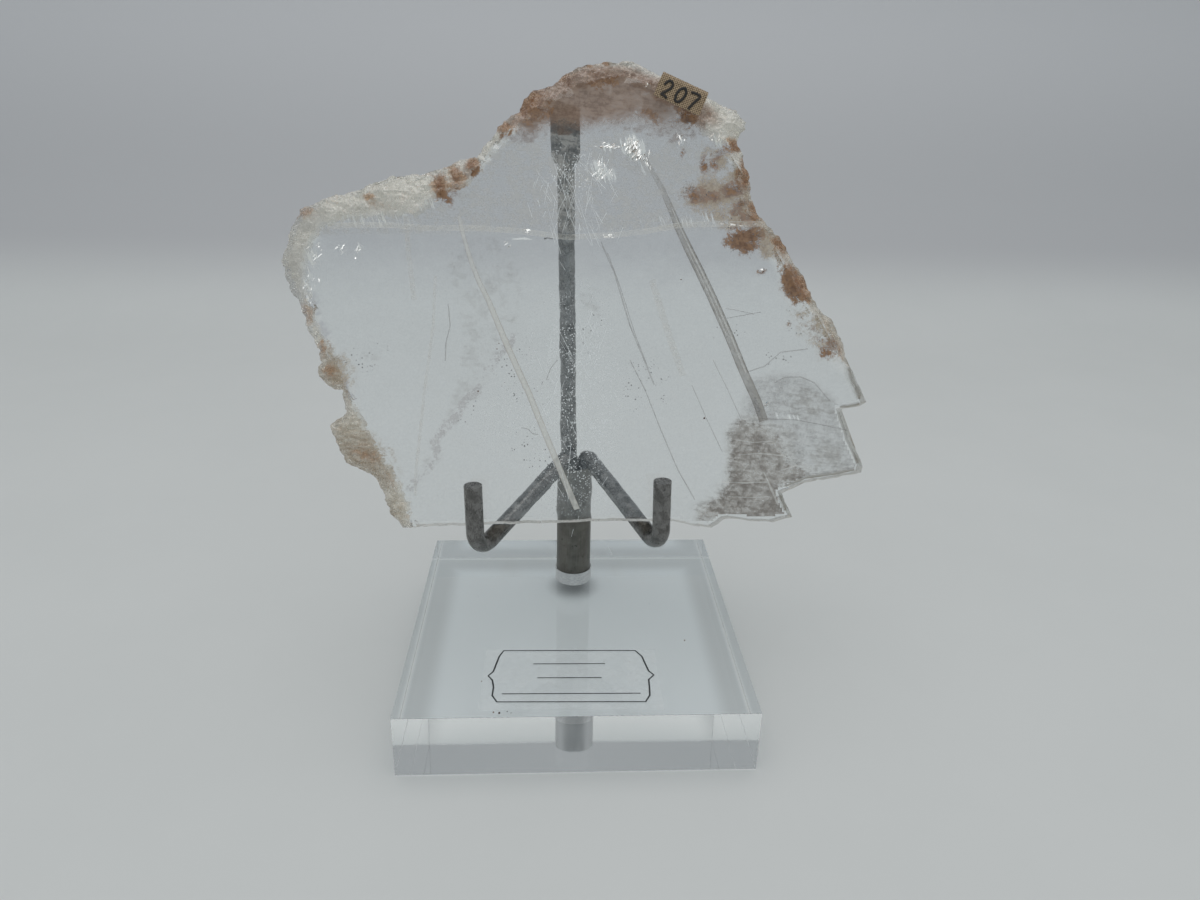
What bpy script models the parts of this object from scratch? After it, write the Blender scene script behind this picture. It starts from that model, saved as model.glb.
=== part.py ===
"""A clear selenite (gypsum) crystal blade on its display stand.

The stand is a polished clear acrylic block with a thin steel tube set in a blind hole. Three
steel rods leave the top of the tube: two bend forward and end in upright hooks, the third goes
straight up behind the blade and ends in a soft cap. The blade rests on the two arms, its lower
edge behind the hooks, and leans back on the cap.

World frame: metres, +Z up, the front of the stand looks along -Y. The origin is the centre of
the block's underside.
"""

import math

import bmesh
import bpy
from mathutils import Matrix, Vector, geometry, noise

# Acrylic block
BASE_SIDE = 0.0762
BASE_THICK = 0.0146
BASE_EDGE = 0.0003
HOLE_RADIUS = 0.0048
HOLE_DEPTH = 0.0083

# Steel tube, standing in the hole
POST_X = 0.0003
POST_Y = 0.0237
POST_RADIUS = 0.0045
POST_BORE = 0.00429
POST_TOP = 0.0447
POST_FOOT = BASE_THICK - HOLE_DEPTH + 0.0003

# Three rods share the tube: each one's direction from the tube's axis, degrees
ROD_RADIUS = 0.00195
BUNDLE_RADIUS = 0.00229
RIGHT_SEAT = 10.0
LEFT_SEAT = 250.0
BACK_SEAT = 130.0
ROD_FOOT = POST_FOOT + 0.0004

# Arms: where each hook stands, and the height of the arm's line at its two ends
ARM_BEND = 0.0034
HOOK_BEND = 0.0045
RIGHT_HOOK = Vector((0.0184, -0.0143, 0.0401))
LEFT_HOOK = Vector((-0.0220, -0.0143, 0.0390))
RIGHT_SHOULDER = 0.0479
LEFT_SHOULDER = 0.0491
RIGHT_TIP = Vector((0.0180, -0.0143, 0.0566))
LEFT_TIP = Vector((-0.0222, -0.0143, 0.0556))

# Straight rod behind the blade, with a slight lean to the left, and its soft cap
BACK_TOP = 0.1280
BACK_LEAN = -0.00165
CAP_RADIUS = 0.0033
CAP_FOOT = 0.1173
CAP_TOP = 0.1296
CAP_BORE = 0.00206

# Blade: leans back on the cap
BLADE_THICK = 0.0060
BLADE_LEAN = 18.4
BLADE_FRONT_Y = -0.01195
BLADE_FRONT_Z = 0.0456
LEDGE_HEIGHT = 0.0004

# The blade's outline, millimetres: across and up the plate from the stand's middle and the
# height of the lower front edge. It goes round clockwise, seen from the front.
LEFT_CRUST = [
    (-38.1, -1.0), (-39.9, 1.9), (-41.3, 6.3), (-44.1, 10.6), (-47.4, 12.1), (-49.8, 13.5),
    (-51.9, 17.6), (-53.1, 20.5), (-51.3, 21.7), (-49.6, 23.8), (-50.5, 28.7), (-53.9, 30.5),
    (-55.5, 31.9), (-54.6, 34.5), (-54.8, 37.6), (-58.1, 42.6), (-58.2, 45.6), (-62.0, 52.8),
    (-62.9, 56.4), (-61.4, 60.3), (-58.6, 66.6),
]
SHOULDER_CRUST = [
    (-54.1, 68.9), (-48.5, 70.2), (-41.3, 73.2), (-37.1, 73.8), (-30.2, 75.0), (-26.8, 76.7),
    (-21.7, 78.3), (-18.6, 81.8), (-15.6, 86.0), (-12.6, 87.8), (-10.9, 91.2), (-9.6, 92.6),
]
DOME_CRUST = [
    (-5.7, 93.4), (-2.4, 96.1), (0.1, 97.4), (4.0, 98.2), (8.4, 98.7), (11.3, 99.1),
    (14.7, 97.5), (22.3, 94.3), (27.5, 92.2), (30.6, 90.3), (33.6, 89.2), (35.8, 87.3),
]
RIGHT_EDGE = [
    (35.4, 85.6), (33.9, 83.2), (35.0, 80.8), (36.8, 75.5), (37.2, 70.7), (39.0, 67.3),
    (43.6, 62.5), (46.2, 58.6), (49.4, 53.2), (53.1, 47.0), (55.9, 44.7), (58.0, 40.5),
    (59.1, 36.7),
]
RIGHT_STEPS = [
    (64.0, 26.7), (62.8, 25.7), (58.4, 25.2), (60.8, 18.5), (63.7, 12.2), (63.2, 11.0),
    (57.4, 9.8), (50.5, 8.8), (45.5, 6.4), (47.8, 1.1), (43.4, -0.1),
]
BOTTOM_EDGE = [
    (32.7, 0.6), (29.8, -1.3), (26.9, -1.1), (21.1, 0.2), (3.0, 0.2), (-19.9, -0.6),
]
# A cleavage ledge crosses the front face from edge to edge of its upper part
LEDGE = [(-25.2, 63.3), (-12.5, 62.9), (-2.7, 61.8), (7.6, 62.4), (15.2, 63.4), (22.1, 64.8)]

# Cloth number tag glued over the top edge, and the clear label on the block
TAG_WIDTH = 0.0106
TAG_HEIGHT = 0.0054
TAG_THICK = 0.0003
TAG_CENTRE = (21.7, 91.9)
TAG_TURN = -23.0
TAG_STANDOFF = 0.0012
LABEL_WIDTH = 0.0386
LABEL_DEPTH = 0.0212
LABEL_THICK = 0.0001
LABEL_CENTRE = (-0.0012, -0.0257)


def clear_scene():
    for obj in list(bpy.data.objects):
        bpy.data.objects.remove(obj, do_unlink=True)


def collection(name):
    found = bpy.data.collections.new(name)
    bpy.context.scene.collection.children.link(found)
    return found


def material(name, colour, roughness, metallic=0.0, transmission=0.0, ior=1.45):
    mat = bpy.data.materials.new(name)
    mat.use_nodes = True
    shader = mat.node_tree.nodes["Principled BSDF"]
    shader.inputs["Base Color"].default_value = (*colour, 1.0)
    shader.inputs["Roughness"].default_value = roughness
    shader.inputs["Metallic"].default_value = metallic
    shader.inputs["Transmission Weight"].default_value = transmission
    shader.inputs["IOR"].default_value = ior
    mat.diffuse_color = (*colour, 1.0)
    return mat


def add_object(name, data, mat, group):
    obj = bpy.data.objects.new(name, data)
    data.materials.append(mat)
    group.objects.link(obj)
    return obj


def turned(name, profile, mat, group, steps=48):
    """A closed profile of (radius, height) turned about Z, running down its outer side."""
    mesh = bpy.data.meshes.new(name)
    shape = bmesh.new()
    verts = [shape.verts.new((radius, 0.0, height)) for radius, height in profile]
    closed = min(radius for radius, _ in profile) > 1e-6
    for first, second in zip(verts, verts[1:] + verts[:1] if closed else verts[1:]):
        shape.edges.new((first, second))
    shape.to_mesh(mesh)
    shape.free()
    obj = add_object(name, mesh, mat, group)
    screw = obj.modifiers.new("Turn", "SCREW")
    screw.axis = "Z"
    screw.steps = steps
    screw.render_steps = steps
    screw.use_merge_vertices = True
    screw.merge_threshold = 0.00001
    screw.use_smooth_shade = True
    return obj


def rounded_path(corners, radii, turn=15.0):
    """Straight runs between the corners, each inner corner replaced by an arc."""
    path = [corners[0]]
    for index, radius in enumerate(radii, start=1):
        corner = corners[index]
        back = (corners[index - 1] - corner).normalized()
        ahead = (corners[index + 1] - corner).normalized()
        opening = back.angle(ahead)
        centre = corner + (back + ahead).normalized() * radius / math.sin(opening / 2)
        first = corner + back * radius / math.tan(opening / 2) - centre
        axis = back.cross(ahead)
        swing = math.pi - opening
        steps = max(2, math.ceil(math.degrees(swing) / turn))
        for step in range(steps + 1):
            turned_by = Matrix.Rotation(-swing * step / steps, 3, axis)
            path.append(centre + turned_by @ first)
    path.append(corners[-1])
    return path


def rod(name, path, mat, group, sides_setting=6):
    """A round steel rod along the path, flat at both ends."""
    curve = bpy.data.curves.new(name, "CURVE")
    curve.dimensions = "3D"
    curve.bevel_depth = ROD_RADIUS
    curve.bevel_resolution = sides_setting
    curve.use_fill_caps = True
    spline = curve.splines.new("POLY")
    spline.points.add(len(path) - 1)
    for point, place in zip(spline.points, path):
        point.co = (*place, 1.0)
    return add_object(name, curve, mat, group)


def seat(angle):
    """Where a rod stands in the tube, seen from above."""
    turn = math.radians(angle)
    return POST_X + BUNDLE_RADIUS * math.cos(turn), POST_Y + BUNDLE_RADIUS * math.sin(turn)


def acrylic_base(mat, group, cutters):
    """The block with its edges just broken, and the drilled hole for the tube."""
    mesh = bpy.data.meshes.new("acrylic_base")
    shape = bmesh.new()
    bmesh.ops.create_cube(shape, size=1.0)
    bmesh.ops.scale(shape, vec=(BASE_SIDE, BASE_SIDE, BASE_THICK), verts=shape.verts)
    bmesh.ops.translate(shape, vec=(0.0, 0.0, BASE_THICK / 2), verts=shape.verts)
    shape.to_mesh(mesh)
    shape.free()
    block = add_object("acrylic_base", mesh, mat, group)
    edges = block.modifiers.new("Broken edges", "BEVEL")
    edges.width = BASE_EDGE
    edges.segments = 2
    drill_mesh = bpy.data.meshes.new("drill")
    shape = bmesh.new()
    bmesh.ops.create_cone(
        shape, cap_ends=True, segments=48, radius1=HOLE_RADIUS, radius2=HOLE_RADIUS,
        depth=2 * HOLE_DEPTH,
    )
    shape.to_mesh(drill_mesh)
    shape.free()
    drill = add_object("drill", drill_mesh, mat, cutters)
    drill.location = (POST_X, POST_Y, BASE_THICK)
    drill.hide_render = True
    drill.display_type = "WIRE"
    hole = block.modifiers.new("Hole", "BOOLEAN")
    hole.operation = "DIFFERENCE"
    hole.solver = "EXACT"
    hole.object = drill
    return block


def arm(name, angle, shoulder, hook, tip, mat, group):
    """A rod that rises in the tube, bends over its rim, runs forward and turns up in a hook."""
    x, y = seat(angle)
    corners = [
        Vector((x, y, ROD_FOOT)),
        Vector((x, y, shoulder)),
        Vector(hook),
        Vector(tip),
    ]
    return rod(name, rounded_path(corners, [ARM_BEND, HOOK_BEND]), mat, group)


def inward(value):
    """Eases from 0 to 1."""
    value = min(1.0, max(0.0, value))
    return value * value * (3.0 - 2.0 * value)


def distance(point, line):
    """From a point of the plate to the nearest part of an open line."""
    best = 1e9
    for first, second in zip(line, line[1:]):
        near, along = geometry.intersect_point_line(point, first, second)
        near = first if along < 0.0 else second if along > 1.0 else near
        best = min(best, (point.xy - near.xy).length)
    return best


def crust_depth(point):
    """How far into the rough crust a point lies: 1 at the edge, 0 on the clear plate."""
    bands = (
        (LEFT_CRUST, 6.0), (SHOULDER_CRUST, 5.5), (DOME_CRUST, 12.0), (RIGHT_EDGE, 4.0),
    )
    place = Vector((*point, 0.0))
    depth = 0.0
    for line, width in bands:
        corners = [Vector((*corner, 0.0)) for corner in line]
        depth = max(depth, 1.0 - distance(place, corners) / width)
    return inward(depth)


def ledge_side(point):
    """1 above the ledge line, 0 below it or beyond its ends."""
    across, up = point
    for (x0, y0), (x1, y1) in zip(LEDGE, LEDGE[1:]):
        if x0 <= across < x1:
            line = y0 + (y1 - y0) * (across - x0) / (x1 - x0)
            fade = inward((across - LEDGE[0][0]) / 6.0) * inward((LEDGE[-1][0] - across) / 6.0)
            return inward((up - line) / 0.5) * fade * inward((line + 16.0 - up) / 9.0)
    return 0.0


def lumps(point, seed):
    """Crust relief, millimetres: ridges drawn out sideways over coarser knobs."""
    across, up = point
    ridges = noise.noise(Vector((across / 5.0, up / 1.6, seed)))
    knobs = noise.noise(Vector((across / 3.0, up / 3.0, seed + 7.0)))
    return 1.2 * ridges + 1.2 * knobs


def plate_points():
    """Outline points about 1.6 mm apart, then inner points, close together in the crust."""
    corners = LEFT_CRUST + SHOULDER_CRUST + DOME_CRUST + RIGHT_EDGE + RIGHT_STEPS + BOTTOM_EDGE
    rim = []
    for first, second in zip(corners, corners[1:] + corners[:1]):
        run = math.dist(first, second)
        steps = max(1, round(run / 1.6))
        for step in range(steps):
            share = step / steps
            rim.append(tuple(a + (b - a) * share for a, b in zip(first, second)))
    outline = [Vector((*point, 0.0)) for point in rim + rim[:1]]
    inner = []
    rows = 78
    columns = 86
    for row in range(rows):
        for column in range(columns):
            across = -64.0 + (column + 0.5 * (row % 2)) * 1.5
            up = -2.0 + row * 1.3
            depth = crust_depth((across, up))
            near_ledge = -26.0 < across < 23.0 and 60.0 < up < 66.0
            coarse = row % 8 == 0 and column % 8 == 0
            if depth < 0.02 and not near_ledge and not coarse:
                continue
            if inside((across, up), rim) and distance(Vector((across, up, 0.0)), outline) > 0.8:
                inner.append((across, up))
    return rim, inner


def inside(point, ring):
    """Whether a point lies within a closed ring of points."""
    across, up = point
    crossings = 0
    for (x0, y0), (x1, y1) in zip(ring, ring[1:] + ring[:1]):
        if (y0 > up) != (y1 > up) and across < x0 + (x1 - x0) * (up - y0) / (y1 - y0):
            crossings += 1
    return crossings % 2 == 1


def selenite_blade(mat, group):
    """The crystal: flat cleavage faces, square cleavage steps and a rough crust on three sides."""
    rim, inner = plate_points()
    flat = [Vector(point) for point in rim + inner]
    ring_edges = [(i, (i + 1) % len(rim)) for i in range(len(rim))]
    points, _, faces, _, _, _ = geometry.delaunay_2d_cdt(flat, ring_edges, [], 1, 1e-6)
    half = BLADE_THICK * 500.0
    outline = [Vector((*point, 0.0)) for point in rim + rim[:1]]
    tag = Vector(TAG_CENTRE)
    shape = bmesh.new()
    front = []
    back = []
    for point in points:
        depth = crust_depth(point)
        edge = distance(Vector((*point, 0.0)), outline)
        round_off = depth * (1.0 - inward(edge / 2.6)) * 1.5
        calm = inward(((point - tag).length - 5.0) / 5.0)
        relief = lumps(point, 0.0) * depth * calm
        sunk = abs(lumps(point, 31.0)) * depth
        top = half - round_off + relief * 0.8 + ledge_side(point) * LEDGE_HEIGHT * 1000.0
        low = -half + round_off + sunk * 0.8
        front.append(shape.verts.new((point.x / 1000, point.y / 1000, top / 1000)))
        back.append(shape.verts.new((point.x / 1000, point.y / 1000, low / 1000)))
    for face in faces:
        shape.faces.new([front[i] for i in face])
        shape.faces.new([back[i] for i in reversed(face)])
    # The side wall: square where the crystal has cleaved, pushed out in knobs where it is crust
    rings = [front[: len(rim)]]
    for level in (0.9, -0.9):
        ring = []
        for index, place in enumerate(rim):
            before = Vector(rim[index - 1])
            after = Vector(rim[(index + 1) % len(rim)])
            outward = Vector((before.y - after.y, after.x - before.x)).normalized()
            depth = crust_depth(place)
            push = 0.9 * depth * (0.6 + noise.noise(Vector((*place, level * 4.0)) / 2.0))
            spot = Vector(place) + outward * push
            ring.append(shape.verts.new((spot.x / 1000, spot.y / 1000, level / 1000)))
        rings.append(ring)
    rings.append(back[: len(rim)])
    for upper, lower in zip(rings, rings[1:]):
        for index in range(len(rim)):
            after = (index + 1) % len(rim)
            shape.faces.new((upper[index], upper[after], lower[after], lower[index]))
    bmesh.ops.recalc_face_normals(shape, faces=shape.faces)
    bmesh.ops.triangulate(shape, faces=shape.faces)
    mesh = bpy.data.meshes.new("selenite_blade")
    shape.to_mesh(mesh)
    shape.free()
    mesh.shade_smooth()
    mesh.set_sharp_from_angle(angle=math.radians(40.0))
    return add_object("selenite_blade", mesh, mat, group)


def place_on_blade(obj, across=0.0, up=0.0, out=0.0, turn=0.0):
    """Stands an object on the plate: X across, Y up the slope, Z out of the front face."""
    lean = math.radians(BLADE_LEAN)
    upward = Vector((0.0, math.sin(lean), math.cos(lean)))
    outward = Vector((0.0, -math.cos(lean), math.sin(lean)))
    start = Vector((0.0, BLADE_FRONT_Y, BLADE_FRONT_Z))
    place = start + Vector((across, 0.0, 0.0)) + upward * up + outward * out
    tilt = Matrix.Rotation(math.radians(90.0) - lean, 4, "X")
    obj.matrix_world = Matrix.Translation(place) @ tilt @ Matrix.Rotation(turn, 4, "Z")


def number_tag(mat, group):
    """A strip of woven tape: flat on the front, its upper edge folded back over the crust."""
    mesh = bpy.data.meshes.new("number_tag")
    shape = bmesh.new()
    rows = ((-TAG_HEIGHT / 2, 0.0), (TAG_HEIGHT * 0.3, 0.0), (TAG_HEIGHT / 2, -0.0006))
    columns = (-TAG_WIDTH / 2, 0.0, TAG_WIDTH / 2)
    grid = [[shape.verts.new((x, y, z)) for x in columns] for y, z in rows]
    for low, high in zip(grid, grid[1:]):
        for i in range(len(columns) - 1):
            shape.faces.new((low[i], low[i + 1], high[i + 1], high[i]))
    shape.to_mesh(mesh)
    shape.free()
    tag = add_object("number_tag", mesh, mat, group)
    body = tag.modifiers.new("Tape", "SOLIDIFY")
    body.thickness = TAG_THICK
    body.offset = 1.0
    place_on_blade(
        tag, TAG_CENTRE[0] / 1000, TAG_CENTRE[1] / 1000, TAG_STANDOFF, math.radians(TAG_TURN)
    )
    return tag


def base_label(mat, group):
    """A thin clear film on the block's top face."""
    mesh = bpy.data.meshes.new("base_label")
    shape = bmesh.new()
    bmesh.ops.create_cube(shape, size=1.0)
    bmesh.ops.scale(shape, vec=(LABEL_WIDTH, LABEL_DEPTH, LABEL_THICK), verts=shape.verts)
    shape.to_mesh(mesh)
    shape.free()
    label = add_object("base_label", mesh, mat, group)
    label.location = (*LABEL_CENTRE, BASE_THICK + 0.0001 + LABEL_THICK / 2)
    label.rotation_euler = (0.0, 0.0, math.radians(-0.7))
    return label


def main():
    clear_scene()
    group = collection("selenite_on_stand")
    cutters = collection("cutters")
    acrylic = material("acrylic", (0.93, 0.95, 0.95), 0.02, transmission=1.0, ior=1.49)
    steel = material("dark_steel", (0.16, 0.15, 0.14), 0.45, metallic=1.0)
    tube_steel = material("tube_steel", (0.14, 0.13, 0.12), 0.4, metallic=1.0)
    rubber = material("soft_cap", (0.07, 0.07, 0.07), 0.7)
    crystal = material("selenite", (0.90, 0.90, 0.88), 0.12, transmission=1.0, ior=1.52)
    tape = material("woven_tape", (0.62, 0.50, 0.35), 0.9)
    film = material("clear_film", (0.85, 0.87, 0.87), 0.25, transmission=0.8, ior=1.46)

    acrylic_base(acrylic, group, cutters)

    tube = turned(
        "post",
        [
            (POST_RADIUS, POST_TOP), (POST_RADIUS, POST_FOOT),
            (POST_BORE, POST_FOOT), (POST_BORE, POST_TOP),
        ],
        tube_steel,
        group,
    )
    tube.location = (POST_X, POST_Y, 0.0)

    arm("right_arm", RIGHT_SEAT, RIGHT_SHOULDER, RIGHT_HOOK, RIGHT_TIP, steel, group)
    arm("left_arm", LEFT_SEAT, LEFT_SHOULDER, LEFT_HOOK, LEFT_TIP, steel, group)

    x, y = seat(BACK_SEAT)
    top = Vector((x + BACK_LEAN, y, BACK_TOP))
    bend = Vector((x, y, POST_TOP + 0.002))
    rod("back_rod", [Vector((x, y, ROD_FOOT)), bend, top], steel, group)

    crown = CAP_TOP - CAP_FOOT
    cap = turned(
        "rod_cap",
        [
            (0.0, crown), (0.0019, crown), (0.0029, crown - 0.0005),
            (CAP_RADIUS, crown - 0.0015), (CAP_RADIUS, 0.0018), (0.0030, 0.0006),
            (0.0025, 0.0), (CAP_BORE, 0.0), (CAP_BORE, BACK_TOP - CAP_FOOT + 0.0002),
            (0.0, BACK_TOP - CAP_FOOT + 0.0002),
        ],
        rubber,
        group,
        steps=32,
    )
    along = (top - bend).normalized()
    cap.matrix_world = (
        Matrix.Translation(bend + along * (CAP_FOOT - bend.z))
        @ along.to_track_quat("Z", "Y").to_matrix().to_4x4()
    )

    blade = selenite_blade(crystal, group)
    place_on_blade(blade, out=-BLADE_THICK / 2)

    number_tag(tape, group)
    base_label(film, group)


main()
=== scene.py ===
import math
import random

import bmesh
import bpy
import numpy as np
from mathutils import Matrix, Vector, noise
from mathutils.bvhtree import BVHTree


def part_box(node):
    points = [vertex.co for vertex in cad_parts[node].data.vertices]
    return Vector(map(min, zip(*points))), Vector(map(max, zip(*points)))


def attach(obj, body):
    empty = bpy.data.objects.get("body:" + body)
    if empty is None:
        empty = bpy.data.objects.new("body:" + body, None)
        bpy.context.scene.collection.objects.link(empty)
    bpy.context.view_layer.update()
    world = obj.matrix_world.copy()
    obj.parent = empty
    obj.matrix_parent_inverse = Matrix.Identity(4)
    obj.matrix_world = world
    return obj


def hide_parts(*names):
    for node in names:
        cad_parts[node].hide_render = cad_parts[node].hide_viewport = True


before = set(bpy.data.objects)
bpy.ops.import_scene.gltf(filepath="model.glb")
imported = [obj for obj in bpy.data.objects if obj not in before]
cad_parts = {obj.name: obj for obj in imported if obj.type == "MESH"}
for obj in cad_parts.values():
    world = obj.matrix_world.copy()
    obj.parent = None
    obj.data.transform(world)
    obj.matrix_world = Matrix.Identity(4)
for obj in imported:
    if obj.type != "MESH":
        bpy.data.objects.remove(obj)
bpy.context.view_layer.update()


# Acrylic block: cast clear sheet, sawn 3 inches square and polished on every face, with its
# edges just broken. A blind hole, left frosted by the drill, takes the steel tube.
BLOCK_TOP = 0.0146
HOLE_AXIS = (0.0003, 0.0237)
HOLE_REACH = 0.0052
EDGE_BREAK = 0.0005
CRISPER = 0.18
SQUARE_ON = 0.95
CLEAR_ACRYLIC = (0.982, 0.998, 1)
WHITE = (1, 1, 1)


def opaque(value):
    """A colour of three numbers gets its alpha; anything else stays as it is."""
    return (*value, 1.0) if isinstance(value, tuple) else value


def new_finish(name, **plain):
    """A material, its node tree and its shader, with the shader's plain sockets set."""
    mat = bpy.data.materials.new(name)
    mat.use_nodes = True
    shader = mat.node_tree.nodes["Principled BSDF"]
    for socket, value in plain.items():
        shader.inputs[socket.replace("_", " ")].default_value = opaque(value)
    return mat, mat.node_tree, shader


def feed(shader, **sockets):
    """Links what changes over the surface to the shader's sockets."""
    for socket, value in sockets.items():
        shader.id_data.links.new(value, shader.inputs[socket.replace("_", " ")])


def add(tree, kind, inputs=None, **settings):
    """A node with its settings, its values and the links that come into it."""
    node = tree.nodes.new(kind)
    for key, value in settings.items():
        setattr(node, key, value)
    for key, value in (inputs or {}).items():
        if isinstance(value, bpy.types.NodeSocket):
            tree.links.new(value, node.inputs[key])
        else:
            node.inputs[key].default_value = value
    return node


def sums(tree, operation, *values):
    """The outcome of one sum on numbers or sockets."""
    inputs = dict(enumerate(values))
    return add(tree, "ShaderNodeMath", inputs, operation=operation).outputs[0]


def times(tree, first, second):
    return sums(tree, "MULTIPLY", first, second)


def weighed(tree, first, second):
    """Two values added up, each times its weight."""
    return sums(tree, "ADD", *[times(tree, value, weight) for value, weight in (first, second)])


def fade(tree, value, low, high, start=0.0, end=1.0):
    """Eases from start to end as the value goes from low to high."""
    inputs = {"Value": value, "From Min": low, "From Max": high, "To Min": start, "To Max": end}
    eased = add(tree, "ShaderNodeMapRange", inputs, interpolation_type="SMOOTHSTEP")
    return eased.outputs["Result"]


def tint(tree, share, first, second):
    """A colour that goes from the first to the second with the share."""
    mixed = add(tree, "ShaderNodeMix", data_type="RGBA")
    for socket, value in ((mixed.inputs[0], share), (mixed.inputs[6], first), (mixed.inputs[7], second)):
        if isinstance(value, bpy.types.NodeSocket):
            tree.links.new(value, socket)
        else:
            socket.default_value = opaque(value)
    return mixed.outputs[2]


def place_of(tree):
    """The point's place on the object."""
    return add(tree, "ShaderNodeTexCoord").outputs["Object"]


def new_group(name, inputs, outputs):
    """A node group that takes and gives numbers and one vector."""
    group = bpy.data.node_groups.new(name, "ShaderNodeTree")
    for label, kind, value in inputs:
        socket = group.interface.new_socket(name=label, in_out="INPUT", socket_type=kind)
        if value is not None:
            socket.default_value = value
    for label in outputs:
        group.interface.new_socket(name=label, in_out="OUTPUT", socket_type="NodeSocketFloat")
    return group, group.nodes.new("NodeGroupInput"), group.nodes.new("NodeGroupOutput")


# Uneven patches, as of handling, haze or grain: the share goes from 0 to 1 between Low and High
patches, taken, given = new_group(
    "patches",
    (
        ("Vector", "NodeSocketVector", None),
        ("Scale", "NodeSocketFloat", 500.0),
        ("Low", "NodeSocketFloat", 0.4),
        ("High", "NodeSocketFloat", 0.6),
        ("Swirl", "NodeSocketFloat", 0.0),
    ),
    ("Share",),
)
cloud = add(
    patches, "ShaderNodeTexNoise",
    {
        "Vector": taken.outputs["Vector"],
        "Scale": taken.outputs["Scale"],
        "Distortion": taken.outputs["Swirl"],
        "Detail": 5.0,
        "Roughness": 0.6,
    },
)
eased = add(
    patches, "ShaderNodeMapRange",
    {
        "Value": cloud.outputs["Fac"],
        "From Min": taken.outputs["Low"],
        "From Max": taken.outputs["High"],
    },
    interpolation_type="SMOOTHSTEP",
)
patches.links.new(eased.outputs["Result"], given.inputs["Share"])

# Specks: dust, pits and grit, round and scattered, each a share of its own cell
specks, taken, given = new_group(
    "specks",
    (
        ("Vector", "NodeSocketVector", None),
        ("Scale", "NodeSocketFloat", 1000.0),
        ("Size", "NodeSocketFloat", 0.25),
        ("Share of cells", "NodeSocketFloat", 0.2),
    ),
    ("Share",),
)
cells = add(
    specks, "ShaderNodeTexVoronoi",
    {"Vector": taken.outputs["Vector"], "Scale": taken.outputs["Scale"]},
)
chance = add(specks, "ShaderNodeSeparateColor", {"Color": cells.outputs["Color"]}).outputs[0]
chosen = sums(specks, "LESS_THAN", chance, taken.outputs["Share of cells"])
near = sums(specks, "LESS_THAN", cells.outputs["Distance"], taken.outputs["Size"])
specks.links.new(times(specks, chosen, near), given.inputs["Share"])


def patchy(tree, vector, scale, low=0.4, high=0.6, swirl=0.0):
    inputs = {"Vector": vector, "Scale": scale, "Low": low, "High": high, "Swirl": swirl}
    return add(tree, "ShaderNodeGroup", inputs, node_tree=patches).outputs["Share"]


def speckled(tree, vector, scale, size, share):
    inputs = {"Vector": vector, "Scale": scale, "Size": size, "Share of cells": share}
    return add(tree, "ShaderNodeGroup", inputs, node_tree=specks).outputs["Share"]


def let_light_through(tree, shader, colour):
    """Lamplight and bounced light cross the clear piece unbent, so that what lies under it is lit."""
    path = add(tree, "ShaderNodeLightPath")
    spread = sums(tree, "MAXIMUM", path.outputs["Is Shadow Ray"], path.outputs["Is Diffuse Ray"])
    unbent = add(tree, "ShaderNodeBsdfTransparent", {"Color": opaque(colour)})
    mixed = add(tree, "ShaderNodeMixShader", {0: spread, 1: shader.outputs[0], 2: unbent.outputs[0]})
    tree.links.new(mixed.outputs[0], tree.nodes["Material Output"].inputs["Surface"])


def polished(name, smallest, largest, entering):
    """Clear cast acrylic with faint smears in its polish. Light is dimmed where it comes in."""
    mat, tree, shader = new_finish(name, Transmission_Weight=1.0, IOR=1.49, Base_Color=CLEAR_ACRYLIC)
    smears = patchy(tree, place_of(tree), 120.0, 0.45, 0.75)
    feed(shader, Roughness=fade(tree, smears, 0.0, 1.0, smallest, largest))
    leaving = add(tree, "ShaderNodeNewGeometry").outputs["Backfacing"]
    let_light_through(tree, shader, tint(tree, leaving, entering, WHITE))
    return mat


def finished(shape, name):
    """The modelled shape as a mesh."""
    mesh = bpy.data.meshes.new(name)
    shape.to_mesh(mesh)
    shape.free()
    return mesh


def show(name, mesh, finishes, replaced=()):
    """The finished piece in the scene, riding on the one body."""
    mesh.name = name
    for mat in finishes:
        mesh.materials.append(mat)
    piece = bpy.data.objects.new(name, mesh)
    bpy.context.scene.collection.objects.link(piece)
    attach(piece, "root")
    if replaced:
        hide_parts(*replaced)
    return piece


top_polish = polished("polished_top", 0.02, 0.05, WHITE)
side_polish = polished("polished_sides", 0.04, 0.07, (0.60, 0.63, 0.64))
frosted, tree, shader = new_finish("drill_frosted", Transmission_Weight=0.5, IOR=1.49)
swarf = patchy(tree, place_of(tree), 1400.0, 0.3, 0.7)
feed(shader, Base_Color=tint(tree, swarf, (0.52, 0.53, 0.54), (0.78, 0.79, 0.79)))
feed(shader, Roughness=fade(tree, swarf, 0.0, 1.0, 0.45, 0.7))
scraped, tree, shader = new_finish("scraped_edges", Transmission_Weight=1.0, IOR=1.49)
nicks = patchy(tree, place_of(tree), 900.0, 0.35, 0.7)
feed(shader, Base_Color=tint(tree, nicks, (0.94, 0.96, 0.97), (0.98, 1.0, 1.0)))
feed(shader, Roughness=fade(tree, nicks, 0.0, 1.0, 0.25, 0.4))
let_light_through(tree, shader, (0.92, 0.93, 0.93))

shape = bmesh.new()
shape.from_mesh(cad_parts["acrylic_base"].data)
bmesh.ops.remove_doubles(shape, verts=shape.verts, dist=1e-6)
low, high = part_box("acrylic_base")
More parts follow.
